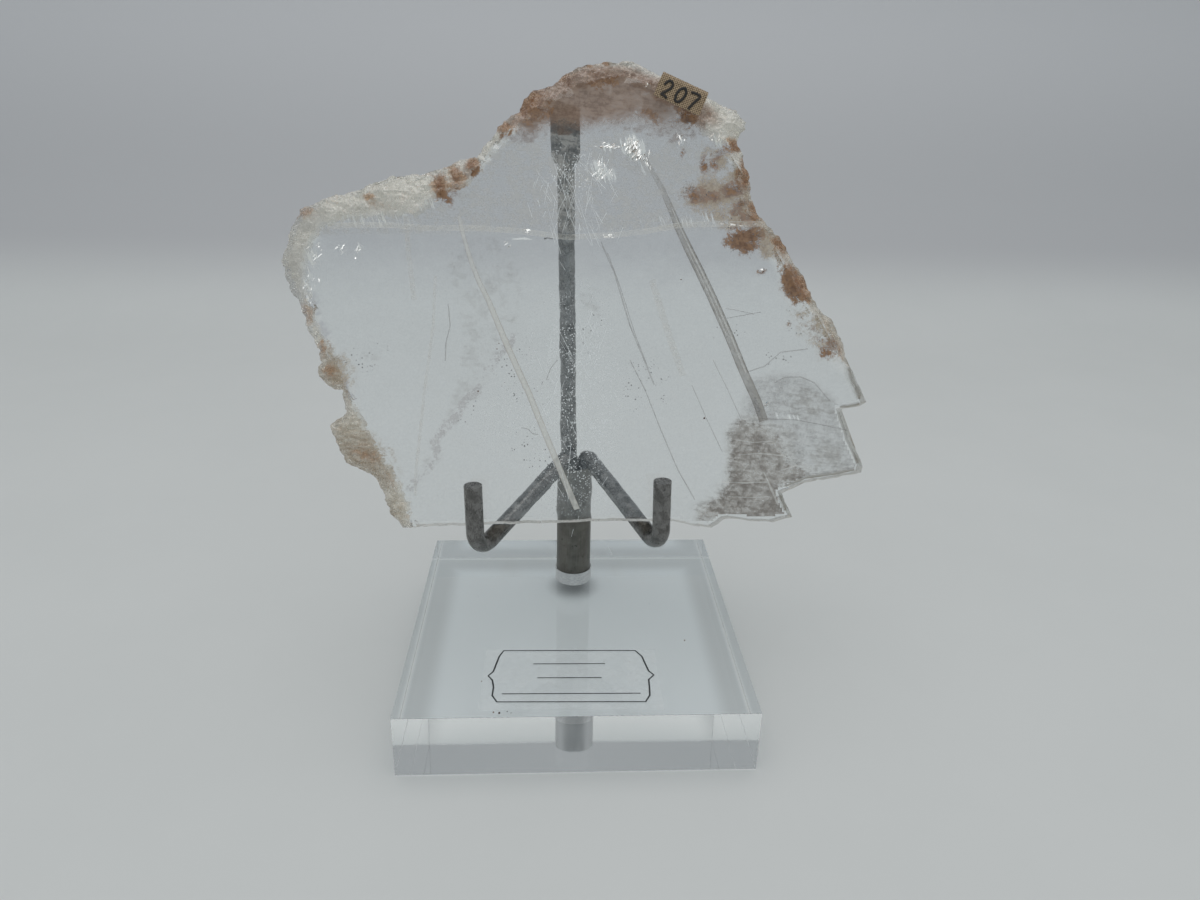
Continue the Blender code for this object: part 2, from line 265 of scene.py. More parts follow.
# The solid's broken edges are drawn closer to the corners
for vert in shape.verts:
    for axis in range(3):
        for wall in (low[axis], high[axis]):
            if abs(vert.co[axis] - wall) < EDGE_BREAK:
                vert.co[axis] = wall + (vert.co[axis] - wall) * CRISPER
shape.normal_update()
for face in shape.faces:
    middle = face.calc_center_median()
    reach = math.hypot(middle.x - HOLE_AXIS[0], middle.y - HOLE_AXIS[1])
    in_hole = reach < HOLE_REACH and 0.001 < middle.z < BLOCK_TOP - 0.0001
    level = abs(face.normal.z) > SQUARE_ON
    upright = max(abs(face.normal.x), abs(face.normal.y)) > SQUARE_ON
    face.material_index = 2 if in_hole else 0 if level else 1 if upright else 3
    face.smooth = in_hole and abs(face.normal.z) < 0.5
block = finished(shape, "acrylic_block")
finishes = [top_polish, side_polish, frosted, scraped]
show("acrylic_block", block, finishes, ["acrylic_base"])


# Label: a clear plastic film, smoothed down by hand on the block's top, near its front edge. A
# thin black border and three plain ruled lines are printed on it.
FILM_TOP = BLOCK_TOP + 0.0002
LINE_RADIUS = 0.00019
LINE_FLATNESS = 0.12
BORDER = [
    (-16.4, -15.5), (-17.3, -17.6), (-17.8, -20.4), (-18.3, -23.2), (-19.3, -24.7),
    (-18.3, -26.2), (-17.9, -28.6), (-18, -31.4), (-16.9, -33.5),
    (14.2, -34.1), (15.3, -32), (15.5, -29.2), (15.6, -26.7), (16.9, -25.1),
    (15.9, -23.6), (15.4, -21), (14.9, -18.2), (13.6, -16),
]
RULED = [((-9.6, -20.6), (6.4, -20.8)), ((-8.6, -25.6), (5.4, -25.8)), ((-16, -30.9), (13.4, -31.3))]


def drawn_out(curve):
    """The curve's bead or rod as a mesh."""
    drawn = bpy.data.objects.new(curve.name, curve)
    mesh = bpy.data.meshes.new_from_object(drawn)
    bpy.data.objects.remove(drawn)
    return mesh


def flat_line(name, strokes, radius, flatness, closed=False, smooth=False):
    """Drawn lines in the XY plane, millimetres: thin rounded beads with closed ends."""
    curve = bpy.data.curves.new(name, "CURVE")
    curve.dimensions = "3D"
    curve.bevel_depth = radius
    curve.bevel_resolution = 3
    curve.resolution_u = 6
    curve.use_fill_caps = True
    for stroke in strokes:
        spline = curve.splines.new("NURBS" if smooth else "POLY")
        spline.points.add(len(stroke) - 1)
        for point, (x, y) in zip(spline.points, stroke):
            point.co = (x / 1000, y / 1000, 0.0, 1.0)
        spline.use_cyclic_u = closed
        if smooth:
            spline.order_u = 3
            spline.use_endpoint_u = True
    mesh = drawn_out(curve)
    mesh.transform(Matrix.Diagonal((1.0, 1.0, flatness, 1.0)))
    return mesh


film, tree, shader = new_finish("clear_film", Base_Color=(0.86, 0.88, 0.88), IOR=1.46)
smudges = patchy(tree, place_of(tree), 260.0, 0.35, 0.75)
feed(shader, Alpha=fade(tree, smudges, 0.0, 1.0, 0.03, 0.09))
feed(shader, Roughness=fade(tree, smudges, 0.0, 1.0, 0.12, 0.3))
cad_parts["base_label"].material_slots[0].material = film

print_ink, tree, shader = new_finish("label_print", Roughness=0.55)
worn = patchy(tree, place_of(tree), 2600.0, 0.3, 0.75)
feed(shader, Base_Color=tint(tree, worn, (0.010, 0.012, 0.014), (0.04, 0.045, 0.05)))
border = flat_line("label_border", [BORDER], LINE_RADIUS, LINE_FLATNESS, closed=True)
border.transform(Matrix.Translation((0.0, 0.0, FILM_TOP + LINE_RADIUS * LINE_FLATNESS)))
show("label_border", border, [print_ink])
ruled = flat_line("label_ruled_lines", RULED, LINE_RADIUS * 0.8, LINE_FLATNESS)
ruled.transform(Matrix.Translation((0.0, 0.0, FILM_TOP + LINE_RADIUS * LINE_FLATNESS)))
show("label_ruled_lines", ruled, [print_ink])


# Tube: thin-walled drawn steel, pressed into the drilled hole. It is dark and finely lined along
# its length, and its cut rim is bright.
POST_RADIUS = 0.0045
POST_BORE = 0.00429
POST_TOP = 0.0447
POST_FOOT = 0.0066
RIM_ROUND = 0.00006


def turned(profile, steps, name):
    """A closed profile of (radius, height) turned about Z."""
    shape = bmesh.new()
    verts = [shape.verts.new((radius, 0.0, height)) for radius, height in profile]
    hollow = min(radius for radius, _ in profile) > 1e-6
    pairs = zip(verts, verts[1:] + verts[:1] if hollow else verts[1:])
    edges = [shape.edges.new(pair) for pair in pairs]
    bmesh.ops.spin(
        shape, geom=verts + edges, axis=(0, 0, 1), cent=(0, 0, 0), angle=2 * math.pi,
        steps=steps, use_merge=True, use_duplicate=False,
    )
    bmesh.ops.remove_doubles(shape, verts=shape.verts, dist=1e-7)
    bmesh.ops.recalc_face_normals(shape, faces=shape.faces)
    mesh = finished(shape, name)
    mesh.shade_smooth()
    mesh.set_sharp_from_angle(angle=math.radians(35.0))
    return mesh


def emboss(tree, shader, height, strength, distance):
    """Fine relief in the finish, as high as the distance."""
    bump = add(tree, "ShaderNodeBump", {"Height": height, "Strength": strength, "Distance": distance})
    feed(shader, Normal=bump.outputs["Normal"])


def drawn_steel(name, dark, light, roughness, lines):
    """Dull steel: fine lines along the draw, cloudy patches and a few small dark stains."""
    mat, tree, shader = new_finish(name, Metallic=1.0)
    place = place_of(tree)
    long_way = add(tree, "ShaderNodeMapping", {"Vector": place, "Scale": (1.0, 1.0, lines)})
    fine = patchy(tree, long_way.outputs["Vector"], 6000.0, 0.3, 0.7)
    cloudy = patchy(tree, place, 420.0, 0.35, 0.65)
    stains = patchy(tree, place, 900.0, 0.63, 0.72)
    shade = weighed(tree, (fine, 0.45), (cloudy, 0.55))
    colour = tint(tree, shade, dark, light)
    colour = tint(tree, times(tree, stains, 0.75), colour, (0.03, 0.028, 0.026))
    feed(shader, Base_Color=colour)
    dull = fade(tree, shade, 0.0, 1.0, roughness - 0.07, roughness + 0.08)
    feed(shader, Roughness=dull)
    emboss(tree, shader, fine, 0.25, 0.00002)
    return mat


tube_steel = drawn_steel("tube_steel", (0.12, 0.113, 0.10), (0.20, 0.192, 0.172), 0.38, 0.03)
tube = turned(
    [
        (POST_RADIUS, POST_FOOT),
        (POST_RADIUS, POST_TOP - RIM_ROUND),
        (POST_RADIUS - RIM_ROUND, POST_TOP),
        (POST_BORE + RIM_ROUND, POST_TOP),
        (POST_BORE, POST_TOP - RIM_ROUND),
        (POST_BORE, POST_FOOT),
    ],
    96,
    "post_tube",
)
tube.transform(Matrix.Translation((*HOLE_AXIS, 0.0)))
show("post_tube", tube, [tube_steel], ["post"])


# Arms: two lengths of the same round steel rod. Each rises in the tube, bends forward over its
# rim and turns up in a hook whose cut end has been rounded by wear.
ROD_RADIUS = 0.00195
BUNDLE_RADIUS = 0.00229
ROD_FOOT = 0.0070
ARM_BEND = 0.0034
HOOK_BEND = 0.0045
END_ROUND = 0.00035
ARMS = {
    "right_arm": (10.0, 0.0479, (0.0184, -0.0143, 0.0401), (0.0180, -0.0143, 0.0566)),
    "left_arm": (250.0, 0.0491, (-0.0220, -0.0143, 0.0390), (-0.0222, -0.0143, 0.0556)),
}


def seat(angle):
    """Where a rod stands in the tube, seen from above."""
    turn = math.radians(angle)
    return HOLE_AXIS[0] + BUNDLE_RADIUS * math.cos(turn), HOLE_AXIS[1] + BUNDLE_RADIUS * math.sin(turn)


def rounded_path(corners, radii, turn=4.0):
    """Straight runs between the corners, each inner corner replaced by an arc."""
    path = [corners[0]]
    for index, radius in enumerate(radii, start=1):
        corner = corners[index]
        back = (corners[index - 1] - corner).normalized()
        ahead = (corners[index + 1] - corner).normalized()
        opening = back.angle(ahead)
        centre = corner + (back + ahead).normalized() * radius / math.sin(opening / 2)
        first = corner + back * radius / math.tan(opening / 2) - centre
        axis = back.cross(ahead)
        swing = math.pi - opening
        steps = max(2, math.ceil(math.degrees(swing) / turn))
        for step in range(steps + 1):
            path.append(centre + Matrix.Rotation(-swing * step / steps, 3, axis) @ first)
    path.append(corners[-1])
    return path


def round_rod(name, path):
    """A smooth rod along the path, with its two cut ends rounded off."""
    curve = bpy.data.curves.new(name, "CURVE")
    curve.dimensions = "3D"
    curve.bevel_depth = ROD_RADIUS
    curve.bevel_resolution = 14
    curve.use_fill_caps = True
    spline = curve.splines.new("POLY")
    spline.points.add(len(path) - 1)
    for point, place in zip(spline.points, path):
        point.co = (*place, 1.0)
    mesh = drawn_out(curve)
    shape = bmesh.new()
    shape.from_mesh(mesh)
    bmesh.ops.remove_doubles(shape, verts=shape.verts, dist=1e-6)
    rims = {edge for face in shape.faces if len(face.verts) > 4 for edge in face.edges}
    bmesh.ops.bevel(
        shape, geom=list(rims), offset=END_ROUND, offset_type="OFFSET", segments=3,
        profile=0.5, affect="EDGES", material=-1, clamp_overlap=True,
    )
    bmesh.ops.recalc_face_normals(shape, faces=shape.faces)
    shape.to_mesh(mesh)
    shape.free()
    mesh.shade_smooth()
    mesh.set_sharp_from_angle(angle=math.radians(50.0))
    return mesh


rod_steel = drawn_steel("rod_steel", (0.085, 0.083, 0.079), (0.28, 0.277, 0.27), 0.27, 0.3)
for name, (angle, shoulder, hook, tip) in ARMS.items():
    x, y = seat(angle)
    corners = [Vector((x, y, ROD_FOOT)), Vector((x, y, shoulder)), Vector(hook), Vector(tip)]
    arm = round_rod(name, rounded_path(corners, [ARM_BEND, HOOK_BEND]))
    show(f"steel_{name}", arm, [rod_steel], [name])


# Back rod: the third rod stands straight behind the blade, leaning a little to the left, and
# a soft rubber cap is pushed over its end so that the crystal isn't scratched.
BACK_SEAT = 130.0
BACK_TOP = 0.1280
BACK_LEAN = -0.00165
CAP_RADIUS = 0.0033
CAP_FOOT = 0.1173
CAP_HEIGHT = 0.0123
CAP_BORE = 0.00206

x, y = seat(BACK_SEAT)
bend = Vector((x, y, POST_TOP + 0.002))
top = Vector((x + BACK_LEAN, y, BACK_TOP))
straight = round_rod("back_rod", [Vector((x, y, ROD_FOOT)), bend, top])
show("steel_back_rod", straight, [rod_steel], ["back_rod"])

rubber, tree, shader = new_finish("cap_rubber", Specular_IOR_Level=0.35)
dusty = patchy(tree, place_of(tree), 1500.0, 0.4, 0.75)
feed(shader, Base_Color=tint(tree, dusty, (0.125, 0.123, 0.12), (0.20, 0.197, 0.19)))
feed(shader, Roughness=fade(tree, dusty, 0.0, 1.0, 0.55, 0.8))
cap = turned(
    [
        (0.0, CAP_HEIGHT), (0.0019, CAP_HEIGHT - 0.00003), (0.0026, CAP_HEIGHT - 0.0003),
        (0.0031, CAP_HEIGHT - 0.0009), (CAP_RADIUS, CAP_HEIGHT - 0.0018), (CAP_RADIUS, 0.0022),
        (0.00322, 0.0014), (0.0030, 0.0006), (0.0026, 0.0001), (0.0023, 0),
        (CAP_BORE, 0.0002), (CAP_BORE, BACK_TOP - CAP_FOOT + 0.0002),
        (0.0, BACK_TOP - CAP_FOOT + 0.0002),
    ],
    64,
    "soft_cap",
)
along = (top - bend).normalized()
lean = along.to_track_quat("Z", "Y").to_matrix().to_4x4()
cap.transform(Matrix.Translation(bend + along * (CAP_FOOT - bend.z)) @ lean)
show("soft_cap", cap, [rubber], ["rod_cap"])


# Crystal: one thin plate of clear selenite with flat, square-cleaving faces. Its left, shoulder,
# dome and right edges carry a rough crust of small crystals, cream where clean and brown with rust.
LEAN = math.radians(18.4)
PLATE_THICK = 0.0060
FRONT_START = Vector((0.0, -0.01195, 0.0456))
OUTWARD = Vector((0.0, -math.cos(LEAN), math.sin(LEAN)))
# Plate coordinates: X across, Y up the slope, Z out of the front from the plate's middle
PLATE_START = FRONT_START - OUTWARD * PLATE_THICK / 2
PLATE = Matrix.Translation(PLATE_START) @ Matrix.Rotation(math.pi / 2 - LEAN, 4, "X")
# Where the clear plate ends and the crust starts, millimetres, clockwise from the lower left
CRUST_LINE = [
    (-35.8, -3), (-37, 3.9), (-39, 9), (-42.3, 13), (-44, 16.7), (-46.1, 20.6), (-47.5, 24.2),
    (-49.6, 28.7), (-51.6, 33.5), (-53.2, 38), (-56, 44), (-58, 49), (-58.6, 54), (-57.4, 59.5),
    (-54.6, 63.8), (-48.3, 65.4), (-40.7, 66.1), (-34.4, 66.6), (-31.7, 69.4), (-29.6, 71),
    (-26.4, 71.6), (-23.4, 73.2), (-20.8, 77.2), (-17, 82.5), (-13.5, 85), (-10, 88), (-7, 90),
    (-3, 92.4), (1, 94.2), (5, 95), (9, 95.6), (12, 95.2), (15, 93.4), (19, 91.4), (24, 87.8), (28, 85),
    (31, 83.4), (32.4, 82.6), (33.4, 79.8), (35, 75.6), (35.6, 71), (37.2, 67.2), (41.8, 61.9),
    (44.4, 57.8), (47.6, 52.6), (51.3, 46.6), (54.2, 43.4), (56.8, 39.8), (58.6, 35.5), (80, 20),
    (80, -20), (-35.8, -20),
]
CELL = 0.0016
WIDE_FACE = 1.6e-6
NEAR_FACE = 0.0022
LEDGE_RISE = 0.0004
DOME_FACETS = [(4, 92, 26, 12, 0, 1.6)]
FACETS_KEPT = 0.7
CHIP_DEPTH = 0.0006
CHIP_GRAIN = 900.0
BROKEN_HALF = 0.0026
# How far the crust's ridges, small crystals and grains stand out, millimetres
RIDGES = 0.24
KNOBS = 0.50
GRAINS = 0.22
SUNK = 0.05
# How far the border between crust and plate strays, millimetres
STRAYS = 0.9


def line_distance(points, line):
    """How far each point lies from an open line, millimetres."""
    best = np.full(len(points), 1e9)
    for first, second in zip(line, line[1:]):
        run = np.subtract(second, first)
        share = np.clip(((points - first) @ run) / (run @ run), 0.0, 1.0)
        best = np.minimum(best, np.hypot(*(points - first - share[:, None] * run).T))
    return best


def inward_distance(points, ring):
    """How far inside a closed ring each point lies, millimetres; below 0 outside it."""
    closed = ring + ring[:1]
    best = line_distance(points, closed)
    crossings = np.zeros(len(points), int)
    for (x0, y0), (x1, y1) in zip(closed, closed[1:]):
        spans = (y0 > points[:, 1]) != (y1 > points[:, 1])
        if y1 != y0:
            at = x0 + (x1 - x0) * (points[:, 1] - y0) / (y1 - y0)
            crossings += spans & (points[:, 0] < at)
    return np.where(crossings % 2 == 1, best, -best)


def plate_points(verts):
    """Places on the plate, millimetres across and up."""
    return np.array([(vert.co.x * 1000, vert.co.y * 1000) for vert in verts])


def ease(value):
    value = np.clip(value, 0.0, 1.0)
    return value * value * (3.0 - 2.0 * value)


def ovals(points, patches_mm):
    """The strongest of several oval patches: 1 in a patch's middle, 0 at its edge and beyond.
    Each is its place, its two reaches, its turn in degrees and its strength."""
    cover = np.zeros(len(points))
    for across, up, long_reach, short_reach, turn, strength in patches_mm:
        swing = math.radians(turn)
        away = points - (across, up)
        lengthwise = away[:, 0] * math.cos(swing) + away[:, 1] * math.sin(swing)
        sideways = away[:, 1] * math.cos(swing) - away[:, 0] * math.sin(swing)
        spread = np.hypot(lengthwise / long_reach, sideways / short_reach)
        cover = np.maximum(cover, strength * np.clip(1.0 - spread, 0.0, 1.0))
    return cover


def keep_attribute(mesh, name, values):
    attribute = mesh.attributes.new(name, "FLOAT", "POINT")
    attribute.data.foreach_set("value", np.asarray(values, np.float32))


RUST_ON_CRUST = [
    (-58, 66.2, 3, 1.6, 20, 1), (-44.1, 69.2, 3, 1.6, -20, 0.8), (-57.6, 45.8, 2.5, 3.5, 0, 0.8),
    (-54.5, 38, 2, 3, 0, 0.8), (-53.3, 33, 3, 2, 0, 0.9), (-46, 15, 6, 2, -20, 0.4),
    (-29, 72, 3.2, 5, 15, 1), (-26, 74, 3, 4, 30, 1.1), (-22.6, 76.6, 3, 2.4, 45, 1.2),
    (-10.8, 90.2, 5.6, 3.4, 40, 1.1), (-15.5, 85, 3, 2.6, 40, 0.9), (2.2, 98.6, 2.4, 1.3, 10, 0.9),
    (6, 98.8, 1.8, 1.3, 0, 1), (-3.6, 95.2, 2.4, 1.5, 30, 0.9), (-41, 68, 2, 1, 0, 0.6),
    (23, 86.8, 4.6, 2.2, -10, 1.2), (33.8, 82, 3.6, 2.2, 0, 1.4), (36.3, 76.5, 2.6, 6, -8, 1.2),
    (38.6, 68, 2.6, 4, 30, 0.9), (48.6, 52, 6, 3, -60, 1.5), (44, 61, 4, 2.2, -50, 1),
    (57, 38.5, 4, 2.6, -60, 0.35),
]
DUSK_ON_CRUST = [(2, 89.2, 20, 10.5, 8, 1.8), (16, 89.5, 12, 7.5, -25, 1.5), (27, 88.4, 6, 3.6, -30, 0.6)]
GREY_ON_CRUST = [
    (-59.5, 51, 6, 14, 0, 1.6), (-58, 65, 7, 5, 20, 1.3), (-50, 28, 8, 14, 20, 0.5),
    (-44, 66.4, 12, 3, 8, 0.6),
]
EARTH_ON_CRUST = [
    (-46.5, 15, 12, 13, 0, 2), (-52, 31, 6, 9, 0, 1.6), (-39.5, 3, 5, 8, 0, 1.2),
    (56, 42, 8, 10, 40, 1), (42, 64, 9, 5, -50, 1.9), (37, 72, 3.6, 9, 0, 1.6),
    (50, 52, 8, 4, -60, 1.7),
]

shape = bmesh.new()
shape.from_mesh(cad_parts["selenite_blade"].data)
bmesh.ops.remove_doubles(shape, verts=shape.verts, dist=1e-6)
shape.transform(PLATE.inverted())

# Both wide faces are cut into small cells, so that crust and clear plate can part anywhere
for axis, start, end in ((Vector((1, 0, 0)), -0.0640, 0.0640), (Vector((0, 1, 0)), -0.0020, 0.1000)):
    for step in range(int((end - start) / CELL)):
        wide = [face for face in shape.faces if face.calc_area() > WIDE_FACE]
        parts = {part for face in wide for part in (face, *face.edges, *face.verts)}
        bmesh.ops.bisect_plane(
            shape, geom=list(parts), dist=1e-5, plane_co=axis * (start + CELL * step), plane_no=axis,
        )

# The clear plate goes back to two flat faces, with some of the dome's facets left on them
points = plate_points(shape.verts)
clear = inward_distance(points, CRUST_LINE)
faceted = np.clip(ovals(points, DOME_FACETS), 0.0, FACETS_KEPT)
for vert, depth, facets in zip(shape.verts, clear, faceted):
    flat = float(ease(depth / 1.6) * (1.0 - facets))
    if abs(vert.co.z) > NEAR_FACE and flat > 0.0:
        level = math.copysign(PLATE_THICK / 2, vert.co.z)
        lift = min(max(0.0, vert.co.z - level), LEDGE_RISE) if vert.co.z > 0.0 else 0.0
        vert.co.z += (level + lift - vert.co.z) * flat

# The clear plate's rim is chipped where it broke off
for vert, depth in zip(shape.verts, clear):
    walls = [face.normal for face in vert.link_faces if abs(face.normal.z) < 0.5]
    if walls and depth > 1.0:
        chip = abs(noise.noise(Vector((vert.co.x * CHIP_GRAIN, vert.co.y * CHIP_GRAIN, 7.0))))
        outward = sum(walls, Vector()).normalized()
        vert.co -= Vector((outward.x, outward.y, 0.0)) * chip * CHIP_DEPTH

# The crust gets a fine mesh, then broken, drawn-out ridges and small knobs
near_crust = {vert for vert, depth in zip(shape.verts, clear) if depth < 1.5}
cut = [edge for edge in shape.edges if edge.verts[0] in near_crust and edge.verts[1] in near_crust]
bmesh.ops.subdivide_edges(shape, edges=cut, cuts=3, use_grid_fill=True)
bmesh.ops.triangulate(shape, faces=[face for face in shape.faces if len(face.verts) > 3])
shape.normal_update()
clear = inward_distance(plate_points(shape.verts), CRUST_LINE)
moves = []
for vert, depth in zip(shape.verts, clear):
    rough = float(ease(-depth / 1.2 + 0.2))
    spot = vert.co * 1000.0
    ridges = noise.noise(Vector((spot.x * 0.45, spot.y * 1.1, spot.z * 0.9)))
    crystals = noise.voronoi(spot * Vector((0.30, 0.40, 0.36)))[0]
    grit = noise.noise(Vector((spot.x * 1.7, spot.y * 1.7, spot.z * 1.7 + 20.0)))
    push = (RIDGES * ridges + KNOBS * (0.5 - crystals[0]) + GRAINS * grit - SUNK) / 1000.0
    moves.append(vert.normal * push * rough)
for vert, move in zip(shape.verts, moves):
    vert.co += move

# The border between clear plate and crust wanders
shape.faces.ensure_lookup_table()
middles = np.array([face.calc_center_median()[:] for face in shape.faces]) * 1000.0
places = [Vector(spot) for spot in middles]
wander = np.array([noise.noise(spot * 0.7) + 0.6 * noise.noise(spot * 2.0) for spot in places])
in_crust = inward_distance(middles[:, :2], CRUST_LINE) + STRAYS * wander < 0.0
for face, rough in zip(shape.faces, in_crust):
    broken = abs(face.normal.z) < 0.5 and abs(face.calc_center_median().z) < BROKEN_HALF
    face.material_index = 1 if rough else 2 if broken else 0
    face.smooth = not rough
for edge in shape.edges:
    if len(edge.link_faces) == 2:
        edge.smooth = edge.calc_face_angle(0.0) < math.radians(30.0)

points = plate_points(shape.verts)
skin = BVHTree.FromBMesh(shape)
shape.transform(PLATE)
low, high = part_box("selenite_blade")
for vert in shape.verts:
    vert.co = Vector([min(max(value, a), b) for value, a, b in zip(vert.co, low, high)])
crystal = finished(shape, "selenite_crystal")
keep_attribute(crystal, "rust", ovals(points, RUST_ON_CRUST))
keep_attribute(crystal, "dusk", np.clip(ovals(points, DUSK_ON_CRUST), 0.0, 1.0))
keep_attribute(crystal, "earth", np.clip(ovals(points, EARTH_ON_CRUST), 0.0, 1.0))
keep_attribute(crystal, "glassy", np.clip(ovals(points, GREY_ON_CRUST), 0.0, 1.0))


def plate_place(tree):
    """The point's place turned so that X is across the plate and Y is up its slope."""
    turned_by = {"Vector": place_of(tree), "Rotation": (LEAN - math.pi / 2, 0.0, 0.0)}
    return add(tree, "ShaderNodeMapping", turned_by).outputs["Vector"]


def kept(tree, name):
    """How much of a stain or film lies at the point, as its attribute says."""
    return add(tree, "ShaderNodeAttribute", attribute_name=name).outputs["Fac"]


clear_selenite, tree, shader = new_finish(
    "clear_selenite", Transmission_Weight=1.0, IOR=1.52, Base_Color=(0.985, 1.0, 1.0),
)
place = plate_place(tree)
haze = patchy(tree, place, 160.0, 0.45, 0.7)
feed(shader, Roughness=fade(tree, haze, 0.0, 1.0, 0.0, 0.04))
waves = add(tree, "ShaderNodeTexNoise", {"Vector": place, "Scale": 110.0, "Detail": 3.0})
emboss(tree, shader, waves.outputs["Fac"], 0.3, 0.0004)
let_light_through(tree, shader, (0.97, 0.98, 0.98))

crust, tree, shader = new_finish("crystal_crust", Transmission_Weight=0.62, IOR=1.52)
place = plate_place(tree)
lumps = patchy(tree, place, 380.0, 0.35, 0.65)
grains = patchy(tree, place, 1100.0, 0.35, 0.65)
fine = patchy(tree, place, 3200.0, 0.35, 0.65)
strata = add(tree, "ShaderNodeMapping", {"Vector": place, "Scale": (0.25, 1.0, 1.0)})
layers = patchy(tree, strata.outputs["Vector"], 1400.0, 0.4, 0.62)
mixed = weighed(tree, (lumps, 0.65), (grains, 0.35))
colour = tint(tree, mixed, (0.80, 0.78, 0.72), (0.99, 0.975, 0.925))
greyish = tint(tree, mixed, (0.44, 0.43, 0.41), (0.84, 0.84, 0.81))
colour = tint(tree, kept(tree, "glassy"), colour, greyish)
earthy = tint(tree, layers, (0.55, 0.48, 0.39), (0.80, 0.76, 0.68))
colour = tint(tree, kept(tree, "earth"), colour, earthy)
dusky = tint(tree, mixed, (0.33, 0.20, 0.14), (0.76, 0.63, 0.54))
colour = tint(tree, fade(tree, kept(tree, "dusk"), 0.05, 0.5), colour, dusky)
broken = sums(tree, "ADD", kept(tree, "rust"), times(tree, sums(tree, "SUBTRACT", mixed, 0.5), 0.8))
rusty = tint(tree, grains, (0.34, 0.17, 0.08), (0.62, 0.42, 0.28))
colour = tint(tree, fade(tree, broken, 0.1, 0.8), colour, rusty)
feed(shader, Base_Color=colour)
feed(shader, Roughness=fade(tree, grains, 0.0, 1.0, 0.05, 0.3))
feed(shader, Alpha=fade(tree, kept(tree, "glassy"), 0.0, 1.0, 1.0, 0.6))
emboss(tree, shader, fine, 0.22, 0.00006)
let_light_through(tree, shader, (0.72, 0.70, 0.65))

broken_edge, tree, shader = new_finish("broken_edge", Transmission_Weight=0.5, IOR=1.52)
chips = patchy(tree, plate_place(tree), 1300.0, 0.35, 0.65)
feed(shader, Base_Color=tint(tree, chips, (0.52, 0.49, 0.435), (0.79, 0.765, 0.705)))
feed(shader, Roughness=fade(tree, chips, 0.0, 1.0, 0.25, 0.6))
let_light_through(tree, shader, (0.80, 0.79, 0.76))
show(
    "selenite_crystal", crystal, [clear_selenite, crust, broken_edge], ["selenite_blade"],
)


# Inside the plate: brown rust films, grey veils of tiny fluid pockets, white feathers and dust,
# all grown in with the crystal on one level near its middle. The crust is milky inside.
VEIL_STEP = 0.5
SMOKE_RING = [
    (33.9, 20.4), (36.4, 23), (41.8, 22), (46.3, 18.5), (47.8, 13.2), (52.3, 11.8), (50.8, 9.2),
    (45.4, 7.4), (46.3, 4.8), (48.2, 1.4), (44.4, -0.4), (33.5, -0.2), (26.4, -0.2), (26.6, 2.5),
    (32.4, 6.2), (33.7, 10.3), (33.3, 14.8),
]
# A thinner grey film beyond it, up to the stepped right edge
FILM_RING = [
    (38.5, 31.5), (43.5, 32.8), (50, 32.4), (55.5, 29), (58.5, 26), (64.5, 25), (62, 19), (65, 9),
    (48, 4), (36, 4), (35, 20),
]
# Where the right side is stained tan
TAN_RING = [
    (24, 73.6), (30, 75.5), (35, 78.5), (38.5, 76.5), (39, 70), (42, 66), (46.5, 61.5), (50, 55),
    (53, 50), (49.8, 48.4), (46.6, 55), (43, 57.5), (40.5, 57.5), (39, 60.5), (31.5, 63.6), (29, 66.5),
    (24, 69),
]
VEIL_RING = [
    (-29, 58), (-26, 61.5), (-18, 62.5), (-12.6, 58), (-11.5, 50), (-12.5, 44), (-15, 38.7),
    (-17.8, 35.9), (-19.9, 32.6), (-21.7, 28.6), (-24.5, 26.5), (-26.7, 22.7), (-29.1, 20.3),
    (-31.2, 17.5), (-30.3, 13.6), (-32.2, 12), (-35, 9.4), (-35, 12), (-31, 20.5), (-27, 29), (-25, 40),
    (-27.5, 50),
]
